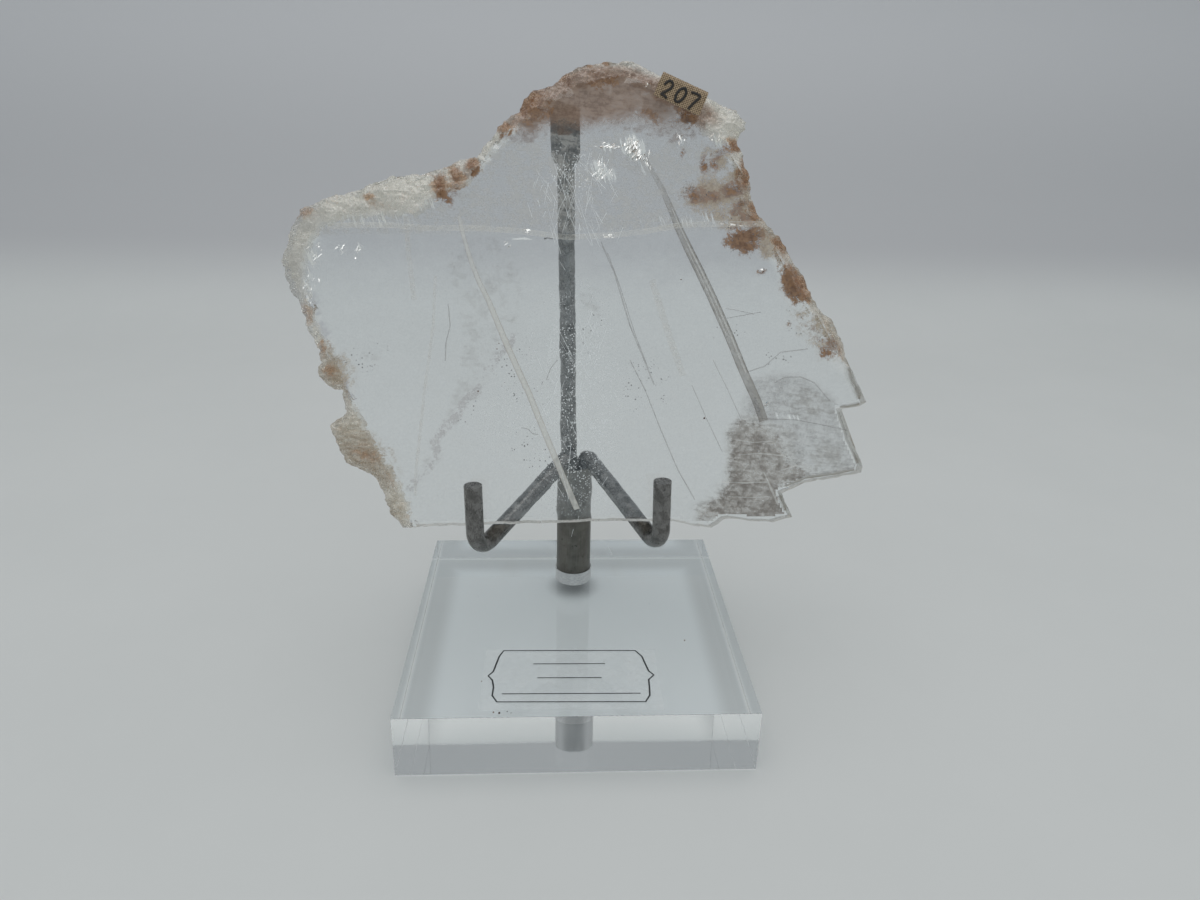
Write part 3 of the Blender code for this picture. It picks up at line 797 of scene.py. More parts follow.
# The ragged rim of the veil, from its tip down to the lower left
VEIL_RIM = [
    (-13, 42), (-15, 38.7), (-17.8, 35.9), (-19.9, 32.6), (-21.7, 28.6), (-24.5, 26.5), (-26.7, 22.7),
    (-29.1, 20.3), (-31.2, 17.5), (-30.3, 13.6), (-32.2, 12), (-35, 9.4), (-36.6, 7.6),
]
RUST_INSIDE = [
    (33.8, 81.9, 3, 1.7, 0, 1.7), (35.8, 80.5, 1.8, 0.8, -20, 1), (30.5, 80.3, 2.2, 0.8, 40, 0.9),
    (29.4, 78.4, 0.9, 2.4, 12, 0.9), (27.5, 78, 1.2, 2.2, 0, 0.9), (36.4, 76.2, 2.2, 3.6, -8, 1.2),
    (25.6, 71.6, 3.2, 1.9, -4, 1), (29, 71.2, 3.6, 1.5, 8, 0.9), (33.4, 73, 5, 1.9, 14, 0.9),
    (36.6, 70, 4.4, 1.2, 20, 0.8), (38, 67.2, 2.8, 2.6, 0, 1.2), (34.6, 68, 4, 1, 6, 0.6),
    (35.9, 62.5, 5, 3.2, 8, 2.2), (37.2, 60.6, 2.6, 3, 0, 1.9), (41.6, 64.2, 4.4, 1.2, -48, 0.8),
    (44.2, 60.6, 5, 1, -60, 1), (44.2, 57.2, 5.2, 0.8, -72, 1), (47.5, 52.2, 6.2, 3.2, -65, 2.2),
    (40.5, 55.2, 1.5, 1, 0, 1.1), (55.4, 37.6, 5, 1.8, 8, 0.55), (47.1, 43.8, 1.6, 0.6, 10, 0.7),
    (52, 42.6, 6, 0.8, -38, 0.4), (54.4, 40.6, 5, 0.8, -20, 0.5), (22.6, 80.3, 0.6, 1.1, 0, 1),
    (17, 88, 5, 2, -10, 0.5), (23.4, 87.6, 4.4, 2.4, -15, 1.2), (-9.6, 90, 5, 4.6, 50, 0.9),
    (5, 95.4, 4, 2.6, 0, 0.8), (-15.5, 85, 3, 2.6, 40, 0.9), (-29.4, 72.2, 1.6, 4.4, 10, 1.4),
    (-26.2, 73, 1.4, 3.8, 0, 1.3), (-27.6, 69.4, 1.4, 2.8, 20, 0.9), (-22.6, 75.8, 3, 2.2, 45, 1.3),
]
DUSK_INSIDE = [
    (2, 92.4, 24, 9, 4, 1.9), (-9, 89.6, 10, 6.8, 40, 1.6), (16, 90.6, 15, 7.4, -20, 1.2),
]
TAN_INSIDE = [
    (53.2, 42.6, 8, 5, -42, 0.6), (56, 39.4, 5.5, 5, 0, 0.7), (49.6, 45.6, 5, 3, -40, 0.5),
    (42.4, 63.4, 6.5, 4, -45, 1.7), (29.6, 71.8, 8.6, 4.4, 6, 1.9), (36.6, 74.6, 3.8, 7, 0, 1.6),
    (37, 67.4, 6.4, 4, 0, 1.8), (-1, 87.2, 18, 3.6, 4, 0.7), (30.5, 79, 4.4, 4.4, 0, 1),
    (-46, 12, 9, 9, 0, 1), (-52, 31, 5, 8, 0, 1),
]
WHITE_INSIDE = [
    (11.8, 81.4, 3.6, 3.2, -20, 2.2), (5.2, 76, 3.8, 2.4, -25, 1.5), (6.3, 81.3, 3.2, 1.1, 0, 1),
    (14, 77.8, 1.4, 2.6, 20, 0.7), (30.4, 83.4, 2.6, 1.6, -30, 1.2), (21.9, 82.9, 1.2, 1.6, 0, 0.7),
    (-47.4, 58.4, 2.4, 2.4, 0, 0.7), (-50.7, 58.8, 1.6, 1.4, 0, 0.6), (-58.5, 50, 2.4, 3, 0, 0.8),
    (-57, 56, 3, 5, 0, 0.6), (-33, 68.6, 4, 2, 0, 0.7), (24, 66, 14, 2, 3, 0.4),
    (-43, 65, 10, 2.2, 0, 0.6), (46.6, 23.2, 4.2, 0.9, -6, 0.7),
]
SMOKE_INSIDE = [
    (37, 14.5, 5, 5.5, 0, 1), (34, 6, 6, 4.5, 20, 1.2), (43, 9, 6, 4, -20, 0.7), (44, 19, 8, 4, 0, 0.7),
    (52, 26, 9, 6, -20, 0.4), (55, 14, 8, 6, 0, 0.5), (-13.9, 44, 3, 2.6, 0, 0.6),
    (3, 47.5, 5, 6.5, 0, 0.3), (-22.5, 28.5, 2, 8, -45, 0.4), (-33, 13, 2, 5, -40, 0.5),
    (-45, 36, 4, 3, 0, 0.4),
]
# Where the face is scuffed and dusty, and where dark dust is caught
SCUFFED = [(-1.5, 76, 9, 11, 0, 1.4), (-1, 27, 13, 32, 0, 1.6), (-14, 24, 14, 10, 30, 0.6)]
SPECKED = [
    (-46, 36, 7, 5, 20, 1), (-9, 16, 8, 8, 0, 0.9), (-12, 32, 8, 12, 30, 0.7), (14, 30, 12, 9, 0, 0.6),
    (3, 42, 5, 9, 0, 0.7), (33, 42, 6, 3, 10, 0.8), (45, 37, 8, 3, 15, 0.7), (43, 14, 9, 6, -20, 0.6),
    (26, 72, 9, 4, 0, 0.8), (36, 64, 7, 8, 0, 0.8), (50, 44, 8, 6, -40, 0.6), (-24, 24, 5, 3, 50, 0.9),
]

VEIL_CELLS = (256, 204)
VEIL_MIDDLE = (0.0005, 0.0490, 0.0)
VEIL_MARGIN = 0.0006
ABOVE_LEDGE = 62.5


def deep_inside(spot, margin):
    """Whether a point lies in the crystal, at least the margin under its skin."""
    exit_spot, exit_normal, _, _ = skin.ray_cast(spot, Vector((0, 0, 1)))
    return skin.find_nearest(spot)[3] >= margin and exit_spot is not None and exit_normal.z >= 0.0


shape = bmesh.new()
bmesh.ops.create_grid(shape, x_segments=VEIL_CELLS[0], y_segments=VEIL_CELLS[1], size=0.5)
reach = [count * VEIL_STEP / 1000 for count in VEIL_CELLS]
bmesh.ops.scale(shape, vec=(*reach, 1.0), verts=shape.verts)
bmesh.ops.translate(shape, vec=VEIL_MIDDLE, verts=shape.verts)
outside = []
for vert in shape.verts:
    if not deep_inside(vert.co, VEIL_MARGIN):
        outside.append(vert)
bmesh.ops.delete(shape, geom=outside, context="VERTS")
points = plate_points(shape.verts)
clear = inward_distance(points, CRUST_LINE)
shape.transform(PLATE)
veils = finished(shape, "inner_veils")
tanned = 0.8 * ease(inward_distance(points, TAN_RING) / 2.5 + 0.3)
veiled = 0.16 * ease(inward_distance(points, VEIL_RING) / 1.6 + 0.3)
smoky = np.maximum(ease(inward_distance(points, SMOKE_RING) / 5.0 + 0.5), veiled)
over_ledge = ease((points[:, 1] - ABOVE_LEDGE - 0.03 * points[:, 0]) / 1.5)
under_dome = ease((93.0 - points[:, 1]) / 10.0)
films = {
    "rust": ovals(points, RUST_INSIDE),
    "dusk": np.clip(ovals(points, DUSK_INSIDE), 0.0, 1.0),
    "tan": np.maximum(tanned, ovals(points, TAN_INSIDE)),
    "film": ease(inward_distance(points, FILM_RING) / 3.0 + 0.4),
    "white": ovals(points, WHITE_INSIDE),
    "milk": ease(0.5 - clear / 2.4),
    "above": over_ledge * under_dome,
    "smoke": np.maximum(smoky, 0.6 * ovals(points, SMOKE_INSIDE)),
    "rim": ease(1.2 - line_distance(points, VEIL_RIM) / 1.6),
    "scuffed": np.clip(ovals(points, SCUFFED), 0.0, 1.0),
    "specked": ovals(points, SPECKED),
}
for film, cover in films.items():
    keep_attribute(veils, film, cover)

veil_finish, tree, shader = new_finish("veils_and_films", Roughness=0.6, Specular_IOR_Level=0.0)
place = plate_place(tree)
coarse = patchy(tree, place, 330.0, 0.3, 0.7, 0.2)
fine = patchy(tree, place, 1300.0, 0.3, 0.7, 0.3)


def combed(tree, vector, turn, stretch):
    """The place drawn out along one direction of the plate, for streaks."""
    inputs = {"Vector": vector, "Rotation": (0.0, 0.0, math.radians(turn)), "Scale": (stretch, 1.0, 1.0)}
    return add(tree, "ShaderNodeMapping", inputs, vector_type="TEXTURE").outputs["Vector"]


def laid_over(tree, colour, share, pigment):
    """Where there is some of the film, its colour is all the film's own."""
    return tint(tree, fade(tree, share, 0.0, 0.06), colour, pigment)


def ragged(tree, name, unevenness, low, high):
    """How thick a film lies: its attribute, made uneven, and none where the attribute is 0."""
    laid = fade(tree, sums(tree, "ADD", kept(tree, name), unevenness), low, high)
    return times(tree, laid, fade(tree, kept(tree, name), 0.0, 0.25))


feathers = patchy(tree, combed(tree, place, -72.0, 7.0), 1500.0, 0.4, 0.65)
strokes = patchy(tree, combed(tree, place, -7.0, 6.0), 1500.0, 0.35, 0.65)
grainy = patchy(tree, place, 3600.0, 0.35, 0.65)
half = weighed(tree, (coarse, 0.75), (fine, 0.55))
ruffle = sums(tree, "ADD", sums(tree, "SUBTRACT", half, 0.80), times(tree, grainy, 0.30))
rust = ragged(tree, "rust", times(tree, ruffle, 1.3), 0.12, 1.0)
dusk = ragged(tree, "dusk", times(tree, ruffle, 0.4), 0.0, 1.0)
tanned = ragged(tree, "tan", times(tree, ruffle, 0.8), 0.05, 1.0)
white = ragged(tree, "white", sums(tree, "SUBTRACT", feathers, 0.7), 0.1, 0.7)
streaks = weighed(tree, (half, 0.8), (strokes, 0.32))
clotted = fade(tree, streaks, 0.2, 1.2, 0.0, 1.0)
torn = ragged(tree, "smoke", times(tree, sums(tree, "SUBTRACT", streaks, 0.7), 0.55), 0.05, 1.1)
smoke = times(tree, torn, fade(tree, clotted, 0.0, 1.0, 0.64, 0.9))
rim = times(tree, kept(tree, "rim"), sums(tree, "ADD", 0.8, times(tree, ruffle, 1.5)))
rim = times(tree, fade(tree, rim, 0.35, 1.2), 0.34)
film = times(tree, kept(tree, "film"), fade(tree, streaks, 0.2, 1.2, 0.16, 0.54))
small, large = speckled(tree, place, 2300.0, 0.3, 0.55), speckled(tree, place, 1500.0, 0.27, 0.36)
dust = sums(tree, "MAXIMUM", small, large)
worn = times(tree, kept(tree, "scuffed"), patchy(tree, place, 190.0, 0.30, 0.52))
dust = times(tree, dust, fade(tree, worn, 0.0, 1.0, 0.12, 1.0))
caught = times(tree, kept(tree, "specked"), patchy(tree, place, 420.0, 0.42, 0.6))
caught = times(tree, speckled(tree, place, 1800.0, 0.28, 0.42), fade(tree, caught, 0.05, 0.4))
milky = fade(tree, times(tree, kept(tree, "above"), clotted), 0.0, 1.0, 0.0, 0.36)
haze = sums(tree, "ADD", milky, fade(tree, half, 0.2, 1.2, 0.03, 0.13))
grey = tint(tree, clotted, (0.40, 0.35, 0.30), (0.225, 0.19, 0.162))
colour = tint(tree, kept(tree, "above"), (0.95, 0.97, 0.98), (0.66, 0.63, 0.59))
colour = laid_over(tree, colour, film, (0.36, 0.34, 0.33))
colour = laid_over(tree, colour, smoke, grey)
colour = laid_over(tree, colour, rim, (0.39, 0.335, 0.335))
colour = tint(tree, dust, colour, (0.97, 0.98, 0.98))
colour = tint(tree, kept(tree, "milk"), colour, (0.92, 0.88, 0.79))
tan = tint(tree, fine, (0.36, 0.235, 0.135), (0.58, 0.47, 0.34))
colour = laid_over(tree, colour, tanned, tan)
dusky = tint(tree, clotted, (0.43, 0.30, 0.225), (0.26, 0.165, 0.115))
colour = laid_over(tree, colour, dusk, dusky)
rusty = tint(tree, fine, (0.17, 0.078, 0.034), (0.40, 0.225, 0.12))
colour = laid_over(tree, colour, rust, rusty)
colour = laid_over(tree, colour, white, (0.97, 0.97, 0.95))
colour = tint(tree, caught, colour, (0.07, 0.06, 0.055))
feed(shader, Base_Color=colour)
cover = sums(tree, "MAXIMUM", smoke, haze)
shares = (
    (rust, 0.95), (tanned, 0.78), (dusk, 0.9), (kept(tree, "milk"), 0.5), (dust, 0.85), (rim, 1.0),
    (film, 1.0), (white, 0.92), (caught, 0.75),
)
for share, strength in shares:
    cover = sums(tree, "MAXIMUM", cover, times(tree, share, strength))
feed(shader, Alpha=cover)
show("inner_veils", veils, [veil_finish])


# Cleavage planes and hairline cracks: flat partings that run slantwise through the plate and are
# seen nearly on edge, so that each shows as a pale band or a thin dark line.
PALE_BAND = [
    (-25.6, 66), (-24.4, 61), (-22.9, 56), (-21.2, 51.9), (-19.2, 47.9), (-17.4, 43.5), (-15.4, 38.7),
    (-13.2, 33.8), (-10.8, 28.7), (-8.3, 22.5), (-5.8, 16.4), (-3.4, 10.6), (0, 2.7),
]
GREY_BAND = [
    (14.2, 79.6), (16.2, 76), (18.2, 72.6), (20, 68.6), (21.8, 64.6), (24.1, 60), (26.5, 55.4),
    (29.5, 49.4), (33.4, 41.1), (36.9, 33), (40, 26.5), (41.5, 22.4),
]
SOFT_LINES = [
    (0.0007, [
        (-30.7, 53.3), (-31.3, 42.6), (-32.2, 35.7), (-33.2, 29), (-34.1, 20.5), (-35.2, 11.4),
        (-35.4, 5.7),
    ]),
    (0.0012, [(-36.9, 66), (-36.4, 58), (-35.3, 48.1)]),
    (0.0016, [(16.2, 53.1), (19.4, 43), (23.3, 32.2)]),
]
PALE_STROKES = [
    (0.0003, [(32, 8.8), (37, 8.6), (42.4, 8.8)]), (0.0003, [(36, 14.9), (41, 15.2), (46.5, 14.6)]),
    (0.0005, [(41.6, 11), (43.2, 7.5), (45, 3.6)]), (0.0002, [(33.5, 5.6), (38, 5.3), (43, 5.5)]),
    (0.0003, [(45, 11.2), (47, 11.9), (49, 12.6)]), (0.0002, [(35, 18.2), (39, 17.6), (44, 18)]),
    (0.0004, [
        (20.2, 68.6), (22.1, 64.6), (24.4, 60), (26.8, 55.4), (29.8, 49.4), (33.7, 41.1), (37.2, 33),
    ]),
    (0.0002, [(23.6, 60), (26, 55.4), (29, 49.4), (32.8, 41.1)]),
]
CRACKS = [
    (0.00022, 0.0015, [(11.4, 35.6), (14.8, 29.1), (18.5, 20), (22.2, 11.6), (26.1, 4.9)]),
    (0.00030, 0.0015, [(4.9, 60.9), (7.8, 54.6), (11.4, 43), (14.2, 36.4), (16.8, 30.2)]),
    (0.00018, 0.0012, [(6.4, 58.6), (9, 51.9), (12.6, 41), (15.4, 34)]),
    (0.00016, 0.0015, [(25.1, 30.2), (28.4, 23), (32.1, 15.5)]),
    (0.00016, 0.0015, [(29.7, 35.8), (33, 29.4), (36.3, 22.6)]),
    (0.00016, 0.0015, [(32.4, 47), (35.6, 46.5), (38.7, 45.8)]),
    (0.00016, 0.0015, [(32.7, 44.9), (36.5, 45.6), (40.1, 46.3)]),
    (0.00022, 0.0015, [(40.8, 22.9), (48.3, 22.7), (53.9, 21.7), (60.7, 20.3)]),
    (0.00024, 0.0015, [(-27.9, 47.3), (-27.5, 42.6), (-28.4, 39.1), (-28.6, 35.1)]),
    (0.00018, 0.0028, [(-6.8, 31.1), (-5.9, 33.6), (-4.4, 35.5)]),
    (0.00018, 0.0004, [(-12.3, 20.7), (-10.8, 20.4), (-9.8, 19.4), (-8.6, 19.2)]),
    (0.00022, 0.0004, [(37.5, 33.2), (41.4, 34.5), (44.9, 37.6), (51, 38.4)]),
    (0.00026, 0.0004, [(43.5, 30.8), (46.1, 32.1), (49.5, 32.2), (52.7, 30.9), (56.2, 26.9)]),
]
# Inner sides of the stepped right edge
STEP_WALLS = [
    (0.0026, [(62.7, 27.3), (61.8, 30), (60.3, 33.2), (58.8, 36.2)]),
    (0.0010, [(58.6, 25.7), (60.4, 26), (63, 26.6)]),
    (0.0020, [(62.8, 12.9), (62, 16), (60.4, 19.6), (58.5, 24.4)]),
    (0.0014, [(46.2, 7.8), (51, 10), (57.4, 11), (62.2, 12)]),
    (0.0016, [(46.6, 2.2), (46, 3.8), (45, 5.6)]),
]


def strip(shape, line, width, marks, level, slant=0.0, narrow=1.0):
    """A band along a line of the plate: the line's edges, drawn out sideways and into the depth.
    It starts at the narrow share of its width and reaches its full width at its end."""
    verts = [shape.verts.new((u / 1000, v / 1000, level)) for u, v in line]
    edges = [shape.edges.new(pair) for pair in zip(verts, verts[1:])]
    side = Vector((line[-1][1] - line[0][1], line[0][0] - line[-1][0], 0.0)).normalized()
    grown = bmesh.ops.extrude_edge_only(shape, edges=edges)
    far = [item for item in grown["geom"] if isinstance(item, bmesh.types.BMVert)]
    for row, way in ((verts, -0.5), (far, 0.5)):
        for index, vert in enumerate(row):
            along = index / (len(row) - 1)
            grow = narrow + (1.0 - narrow) * min(1.0, 2.0 * along)
            vert.co += (side * width - Vector((0, 0, slant))) * way * grow
            vert[marks[0]] = way + 0.5
            vert[marks[1]] = along


def strips(name, bands):
    """Several bands in one mesh, each a line with its width, level, slant and narrow share."""
    shape = bmesh.new()
    marks = [shape.verts.layers.float.new(mark) for mark in ("across", "along")]
    for line, width, level, slant, narrow in bands:
        strip(shape, line, width, marks, level, slant, narrow)
    shape.transform(PLATE)
    return finished(shape, name)


def band_finish(name, pale, dark, cover, rim_cover=0.3, start=1.0, soft_side=0.0):
    """Cloudy in the middle, and plainer along both edges, where the parting meets the surface.
    The start is the share of its cover that the band has at its upper end, and the soft side
    is how much of its width fades out on one side."""
    mat, tree, shader = new_finish(name, Roughness=0.5, Specular_IOR_Level=0.2)
    edge = sums(tree, "ABSOLUTE", sums(tree, "SUBTRACT", kept(tree, "across"), 0.5))
    clouds = patchy(tree, plate_place(tree), 700.0, 0.3, 0.7)
    rims = fade(tree, edge, 0.3, 0.5)
    feed(shader, Base_Color=tint(tree, rims, pale, dark))
    thick = weighed(tree, (clouds, 0.25), (rims, rim_cover))
    growing = fade(tree, kept(tree, "along"), 0.0, 0.5, start, 1.0)
    if soft_side:
        growing = times(tree, growing, fade(tree, kept(tree, "across"), 0.0, soft_side))
    feed(shader, Alpha=times(tree, sums(tree, "ADD", thick, cover), growing))
    return mat


def show_band(name, bands, finish):
    show(name, strips(name, bands), [finish])


pale_band = band_finish("pale_band", (0.96, 0.93, 0.87), (0.62, 0.57, 0.51), 0.6, 0.25, 0.6)
grey_band = band_finish("grey_band", (0.40, 0.36, 0.315), (0.27, 0.24, 0.205), 0.52, 0.16, 0.35)
soft_line = band_finish("soft_line", (0.72, 0.68, 0.62), (0.84, 0.80, 0.75), 0.14, -0.12)
pale_stroke = band_finish("pale_stroke", (0.86, 0.84, 0.80), (0.80, 0.78, 0.74), 0.35, -0.1)
crack_edge = band_finish("crack_edges", (0.30, 0.28, 0.26), (0.22, 0.20, 0.19), 0.26)
wall_band = band_finish("wall_band", (0.34, 0.31, 0.265), (0.40, 0.36, 0.30), 0.6, 0.2, 1.0, 0.9)
show_band("pale_cleavage_band", [(PALE_BAND, 0.0013, 0.0006, 0.0012, 0.6)], pale_band)
show_band("grey_cleavage_band", [(GREY_BAND, 0.0018, 0.0, 0.0016, 0.4)], grey_band)
show_band("soft_cleavage_lines", [(line, width, 0.0, 0.0, 1.0) for width, line in SOFT_LINES], soft_line)
show_band("pale_strokes", [(line, width, 0.0008, 0.0, 0.4) for width, line in PALE_STROKES], pale_stroke)
hairlines = [(line, width, level, 0.0, 1.0) for width, level, line in CRACKS]
show_band("hairline_cracks", hairlines, crack_edge)
show_band("step_walls", [(line, width, 0.0, 0.0, 0.5) for width, line in STEP_WALLS], wall_band)


# Surface wear: a beige break along the ledge that crosses the front, long fine scratches, which
# show white before anything dark, and small loose flakes of cleavage that flash in the light.
LEDGE_LINE = [
    (-53, 63.2), (-46, 63.6), (-39, 63.6), (-32.6, 63.1), (-25.2, 63.3), (-19, 63.2), (-12.5, 62.8),
    (-7, 62.2), (-2.4, 61.7), (3, 62), (7.7, 62.3), (15.2, 63.3), (22.1, 64.7), (31, 65.1),
    (40.6, 65.2),
]
GLINTS = [
    (11.7, 81.4, 1.3, 1.3, 120, 80), (12.8, 79.6, 1.5, 1.2, 50, 70), (5, 75.6, 2, 1.3, 44, 60),
    (6.6, 81.3, 2.6, 0.5, 22, 5), (4.6, 77.4, 1.4, 0.8, 10, 85), (14.6, 78, 0.8, 1.6, 9, 100),
    (30.6, 83.6, 1.7, 1.1, 18, 60), (21.9, 83, 0.9, 1.2, 9, 80), (28.6, 87.6, 2.4, 1.6, 12, 40),
    (-47.5, 58.6, 1.2, 1, 8, 60), (-50.7, 58.9, 0.8, 0.7, 5, 60), (-57.5, 50.5, 1.6, 3, 12, 70),
    (-56, 57, 2, 2.4, 10, 45), (-10.8, 63.4, 1.4, 0.4, 7, 10), (-15.3, 60.2, 0.6, 0.8, 4, 30),
    (6.4, 62.4, 1.4, 0.25, 9, 3), (47, 7.6, 1.4, 0.7, 8, 10), (42, 26.2, 0.8, 0.8, 7, 40),
    (35, 65.1, 3.6, 0.15, 10, 1), (40.3, 55.6, 0.3, 0.3, 2, 30), (-8, 92.4, 2.6, 1, 12, 40),
    (-1, 95.4, 3, 0.9, 16, 60), (9, 97.4, 4.2, 0.8, 26, 70), (17, 95.6, 2.2, 0.7, 12, 60),
    (-17, 83, 0.8, 2.2, 8, 50), (-44, 69, 6, 1.4, 12, 10), (-33, 70, 3, 1.6, 8, 40),
    (-2, 97, 6, 1.2, 40, 70), (-12, 90, 2.4, 1.4, 14, 60),
]
SCRATCHES = 170
SCRATCH_TURNS = (-72.0, -66.0, -60.0, 68.0, 84.0)
SCRATCH_LEVEL = 0.0029
FLAKE_MARGIN = 0.0003
chance = random.Random(5)

scratches = []
for _ in range(SCRATCHES):
    u = chance.gauss(-1.0, 5.0)
    v = chance.choice((chance.gauss(26.0, 12.0), chance.uniform(62.0, 78.0)))
    turn = math.radians(chance.choice(SCRATCH_TURNS) + chance.gauss(0.0, 6.0))
    half = 0.3 + 1.4 * chance.random() + 5.0 * chance.random() ** 5
    ends = [(u + math.cos(turn) * half * way, v + math.sin(turn) * half * way) for way in (-1.0, 1.0)]
    scratches.append((ends, chance.uniform(0.00005, 0.00011), SCRATCH_LEVEL, 0.0, 0.4))
white_scratch = band_finish("white_scratch", (0.98, 0.99, 0.99), (0.98, 0.99, 0.99), 0.85, 0.0)
show_band("fine_scratches", scratches, white_scratch)

beige_break = band_finish("beige_break", (0.88, 0.83, 0.74), (0.97, 0.94, 0.88), 0.10, 0.1)
show_band("ledge_break", [(LEDGE_LINE, 0.0012, 0.0028, 0.0, 1.0)], beige_break)

shape = bmesh.new()
for u, v, reach_u, reach_v, count, grain in GLINTS:
    for _ in range(count):
        across = chance.gauss(u, reach_u * 0.5)
        up = chance.gauss(v, reach_v * 0.5)
        spot = Vector((across, up, chance.uniform(-1.0, 2.2))) / 1000
        if not deep_inside(spot, FLAKE_MARGIN):
            continue
        leaning = Matrix.Rotation(math.radians(chance.gauss(-11.0, 5.0)), 4, "X")
        leaning @= Matrix.Rotation(math.radians(chance.gauss(0.0, 8.0)), 4, "Y")
        leaning @= Matrix.Rotation(math.radians(grain + chance.gauss(0.0, 12.0)), 4, "Z")
        size = Matrix.Diagonal((chance.uniform(0.2, 0.8), chance.uniform(0.05, 0.2), 1.0, 1.0))
        leaf = Matrix.Translation(spot) @ leaning @ size
        bmesh.ops.create_circle(shape, cap_ends=True, segments=5, radius=0.001, matrix=leaf)
shape.transform(PLATE)
flakes = finished(shape, "cleavage_flakes")
flash, tree, shader = new_finish("cleavage_flash", Metallic=1.0)
flawed = patchy(tree, plate_place(tree), 2200.0, 0.3, 0.7)
feed(shader, Base_Color=tint(tree, flawed, (0.80, 0.80, 0.78), (0.97, 0.97, 0.96)))
feed(shader, Roughness=fade(tree, flawed, 0.0, 1.0, 0.15, 0.4))
show("cleavage_flakes", flakes, [flash])


# Grit: a few dark grains of soil caught on the crystal's face, and rusty ones that its crust has
# shed on the block. They lie loose.
GRIT_ON_PLATE = [
    (27.8, 23, 0.22), (22.3, 53, 0.13), (-17.4, 37.7, 0.13), (-21.5, 28.6, 0.16), (-17, 38.9, 0.10),
    (22.1, 70.9, 0.10), (22.8, 70.2, 0.08), (21.6, 70, 0.08), (23.4, 71.4, 0.07), (40.3, 55, 0.12),
]
GRIT_ON_BLOCK = [
    (-17.4, -36.6, 0.16), (-16.2, -36.9, 0.22), (-14.6, -36.4, 0.12), (-13.8, -36.9, 0.10),
    (25.6, -12, 0.16), (-20.6, -26.4, 0.12), (12, -20, 0.08), (19, 4, 0.08), (-24, 8, 0.09),
]
shape = bmesh.new()
for u, v, size in GRIT_ON_PLATE:
    place = PLATE @ Matrix.Translation((u / 1000, v / 1000, PLATE_THICK / 2 + size * 0.0002))
    bmesh.ops.create_icosphere(shape, subdivisions=2, radius=size / 1000, matrix=place)
for x, y, size in GRIT_ON_BLOCK:
    place = Matrix.Translation((x / 1000, y / 1000, BLOCK_TOP + size * 0.0007))
    bmesh.ops.create_icosphere(shape, subdivisions=2, radius=size / 1000, matrix=place)
for vert in shape.verts:
    vert.co += vert.normal * 0.00005 * noise.noise(vert.co * 9000.0)
grit = finished(shape, "caught_grit")
earth, tree, shader = new_finish("dark_grit", Roughness=0.8)
kinds = patchy(tree, place_of(tree), 60.0, 0.45, 0.55)
feed(shader, Base_Color=tint(tree, kinds, (0.02, 0.016, 0.014), (0.16, 0.085, 0.045)))
show("caught_grit", grit, [earth])


# Number tag: a strip of tan woven tape glued over the top edge of the crust, its upper edge
# folded back. A plain number is written on it in black ink.
TAG_WIDTH = 0.0106
TAG_HEIGHT = 0.0054
TAG_THICK = 0.0003
TAG_CENTRE = (0.0217, 0.0919, PLATE_THICK / 2 + 0.0012)
TAG_TURN = math.radians(-23.0)
TAG_PLACE = PLATE @ Matrix.Translation(TAG_CENTRE) @ Matrix.Rotation(TAG_TURN, 4, "Z")
THREAD = 0.00058
INK_RADIUS = 0.00027
NUMBER = [
    [
        (-4.2, 0.5), (-3.9, 1.5), (-2.9, 1.8), (-2.4, 0.9), (-3, -0.3), (-4.3, -1.7), (-3.5, -1.5),
        (-2.6, -1.9),
    ],
    [
        (0.1, 1.6), (-0.8, 1.2), (-1.2, -0.5), (-0.8, -1.8), (0.2, -1.5), (0.8, 0.3), (0.5, 1.5),
        (-0.1, 1.7),
    ],
    [(1.6, 1.4), (2.6, 1.6), (3.9, 1.5), (3.3, 0.2), (2.8, -0.8), (2.4, -2.1)],
]

shape = bmesh.new()
bmesh.ops.create_grid(shape, x_segments=42, y_segments=22, size=0.5)
bmesh.ops.scale(shape, vec=(TAG_WIDTH, TAG_HEIGHT, 1.0), verts=shape.verts)
for vert in shape.verts:
    spot = vert.co * 1000.0
    fold = max(0.0, spot.y - 1.5) / 1.2
    frayed = 0.10 * noise.noise(Vector((spot.x * 2.5, spot.y * 2.5, 3.0)))
    cockled = 0.08 * noise.noise(Vector((spot.x * 0.35, spot.y * 0.5, 1.0)))
    vert.co.z = (cockled - 0.5 * fold * fold) / 1000.0
    if abs(spot.x) > TAG_WIDTH * 490.0 or abs(spot.y) > TAG_HEIGHT * 490.0:
        vert.co.x += frayed / 1000.0
        vert.co.y += frayed / 1000.0
bmesh.ops.solidify(shape, geom=shape.faces[:], thickness=-TAG_THICK)
bmesh.ops.recalc_face_normals(shape, faces=shape.faces)
tag = finished(shape, "woven_tag")
weave_map = tag.uv_layers.new(name="tape")
for loop, uv in zip(tag.loops, weave_map.data):
    spot = tag.vertices[loop.vertex_index].co
    uv.uv = (spot.x / THREAD, spot.y / THREAD)
tag.shade_smooth()
tag.set_sharp_from_angle(angle=math.radians(40.0))
tag.transform(TAG_PLACE)

